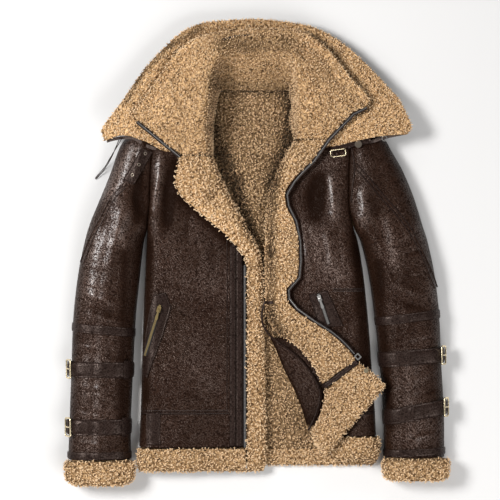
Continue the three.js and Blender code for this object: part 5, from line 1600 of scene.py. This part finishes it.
def hardware():
    lift = LIFT + STRAP_THICK + FOLDED + BUCKLE_RISE
    for name, source, y, from_end, at_right in (
        ("upper_buckle_right", SLEEVE_RIGHT, -222.6, 4.5, False),
        ("lower_buckle_right", SLEEVE_RIGHT, -333, 7, False),
        ("upper_buckle_left", SLEEVE_LEFT, -196.2, 4.5, True),
        ("lower_buckle_left", SLEEVE_LEFT, -295, 4.5, True),
    ):
        seat = seat_on(source, y, from_end, at_right, lift)
        buckle(name, wide=23, tall=38, bar=3.4, prong=2.4, seat=seat)
        strap_end(name.replace("buckle", "strap_end"), seat)
    x = np.array([1, 0.14, 0]) / math.hypot(1, 0.14)
    y = np.array([-x[1], x[0], 0])
    seat = x, y, np.array([0, 0, 1.0]), np.array([151, 188, 51.7])
    buckle("throat_buckle_left", wide=31, tall=15, bar=2.3, prong=0, seat=seat)
    give_finish("throat_snap_left", DARK_METAL)
    give_finish("corner_snap_left", PALE_BRASS)
    give_finish("throat_ring_left", NICKEL)
    give_finish("zip_retainer_left", NICKEL)


def loose_straps():
    path = fine_line([(138, 195.3, 50), (160, 200, 50), (183, 205.2, 50), (213, 211.3, 50)], 4)
    trim("throat_strap_left", *ribbon_grid(path, offset=-4, width=8.5, thick=1.8, columns=7))
    path = fine_line([(123.7, -255.6, 54), (186.6, -207.4, 57.5)], 4)
    trim("corner_strap_left", *ribbon_grid(path, offset=-3.8, width=7.6, thick=2.4, columns=7))


def collar_rims():
    """The collar's leather underside, just seen below its wool at both ends."""
    for name, line in (
        ("collar_rim_right",
         [(-288, 210.5, 45), (-275, 214, 46), (-257, 217, 46), (-236, 215.5, 46), (-214, 202, 45),
          (-196, 195.5, 44), (-180, 189, 42)]),
        ("collar_rim_left",
         [(281, 226, 45), (262, 222.5, 45), (238, 217, 45), (212, 208.5, 44), (188, 203.5, 43),
          (160, 197, 42), (138, 192.5, 41)]),
    ):
        line = fine_line(line, 4, smooth=True)
        outer, inner = ribbon_grid(line, offset=-3, width=6, thick=1.6, columns=6)
        strip(name, domed(outer, inner), inner, RIM)


def thong():
    """A lace through the collar's edge: out, round a tight loop, and back into it."""
    points = [(-262, 218.6, 50), (-283, 176, 21.5), (-302, 150, 5.5), (-312.5, 140.5, 1.6),
              (-311, 144, 1.6), (-296, 161, 5.5), (-279, 186, 21.5), (-257, 218.6, 50)]
    path = smooth_line(points, np.linspace(0, 1, 90))
    points, faces = tube(path, THONG_THICK / 2, 8)
    obj = make("collar_thong_right_lace", points, faces, [TRIM],
               stands_for=("collar_thong_right",))


# Floor, light and camera
def stage():
    floor_look = plain("floor", (0.675, 0.667, 0.66), 0.95)
    feed(floor_look.node_tree, floor_look.node_tree.nodes["Principled BSDF"], {"Specular IOR Level": 0.0})
    bpy.ops.mesh.primitive_plane_add(size=12, location=(0, 0, -0.0005))
    floor = bpy.context.object
    floor.name = "floor"
    floor.data.materials.append(floor_look)

    def area(name, place, size, power):
        light = bpy.data.lights.new(name, "AREA")
        light.shape = "RECTANGLE"
        light.size, light.size_y = size
        light.energy = power
        obj = bpy.data.objects.new(name, light)
        bpy.context.collection.objects.link(obj)
        obj.location = place
        obj.rotation_euler = (Vector((0, 0, 0.03)) - Vector(place)).to_track_quat("-Z", "Y").to_euler()

    area("key", place=(-2.1, 0.7, 2.5), size=(1.2, 0.9), power=129)
    area("right", place=(1.4, -2.1, 2.1), size=(3.0, 2.0), power=88)
    area("back", place=(-0.4, 2.6, 1.8), size=(1.6, 0.4), power=10)
    world = bpy.data.worlds.new("studio")
    bpy.context.scene.world = world
    bpy.context.scene.view_settings.view_transform = "Standard"
    world.use_nodes = True
    feed(world.node_tree, world.node_tree.nodes["Background"], {"Color": (1, 1, 1, 1), "Strength": 0.19})


PHOTO_CENTRE = (-16.15, 3.8)  # in the tables' own millimetres
PHOTO_SPAN = 950
LENS = 150
SENSOR = 36
COAT_MIDDLE = 40  # height at which the span is measured


def camera():
    data = bpy.data.cameras.new("camera")
    data.lens = LENS
    data.sensor_width = SENSOR
    data.clip_end = 30
    obj = bpy.data.objects.new("camera", data)
    bpy.context.collection.objects.link(obj)
    distance = PHOTO_SPAN * LENS / SENSOR + COAT_MIDDLE
    obj.location = ((PHOTO_CENTRE[0] + SHIFT[0]) * MM, (PHOTO_CENTRE[1] + SHIFT[1]) * MM, distance * MM)
    obj.rotation_euler = (0, 0, 0)
    bpy.context.scene.camera = obj


camera()
thong()
stage()
panels()
backs()
edges()
collars()
collar_rims()
cuffs()
straps()
patches()
seams()
eyelets()
main_zips()
turn_edge()
pocket_zips()
hardware()
loose_straps()
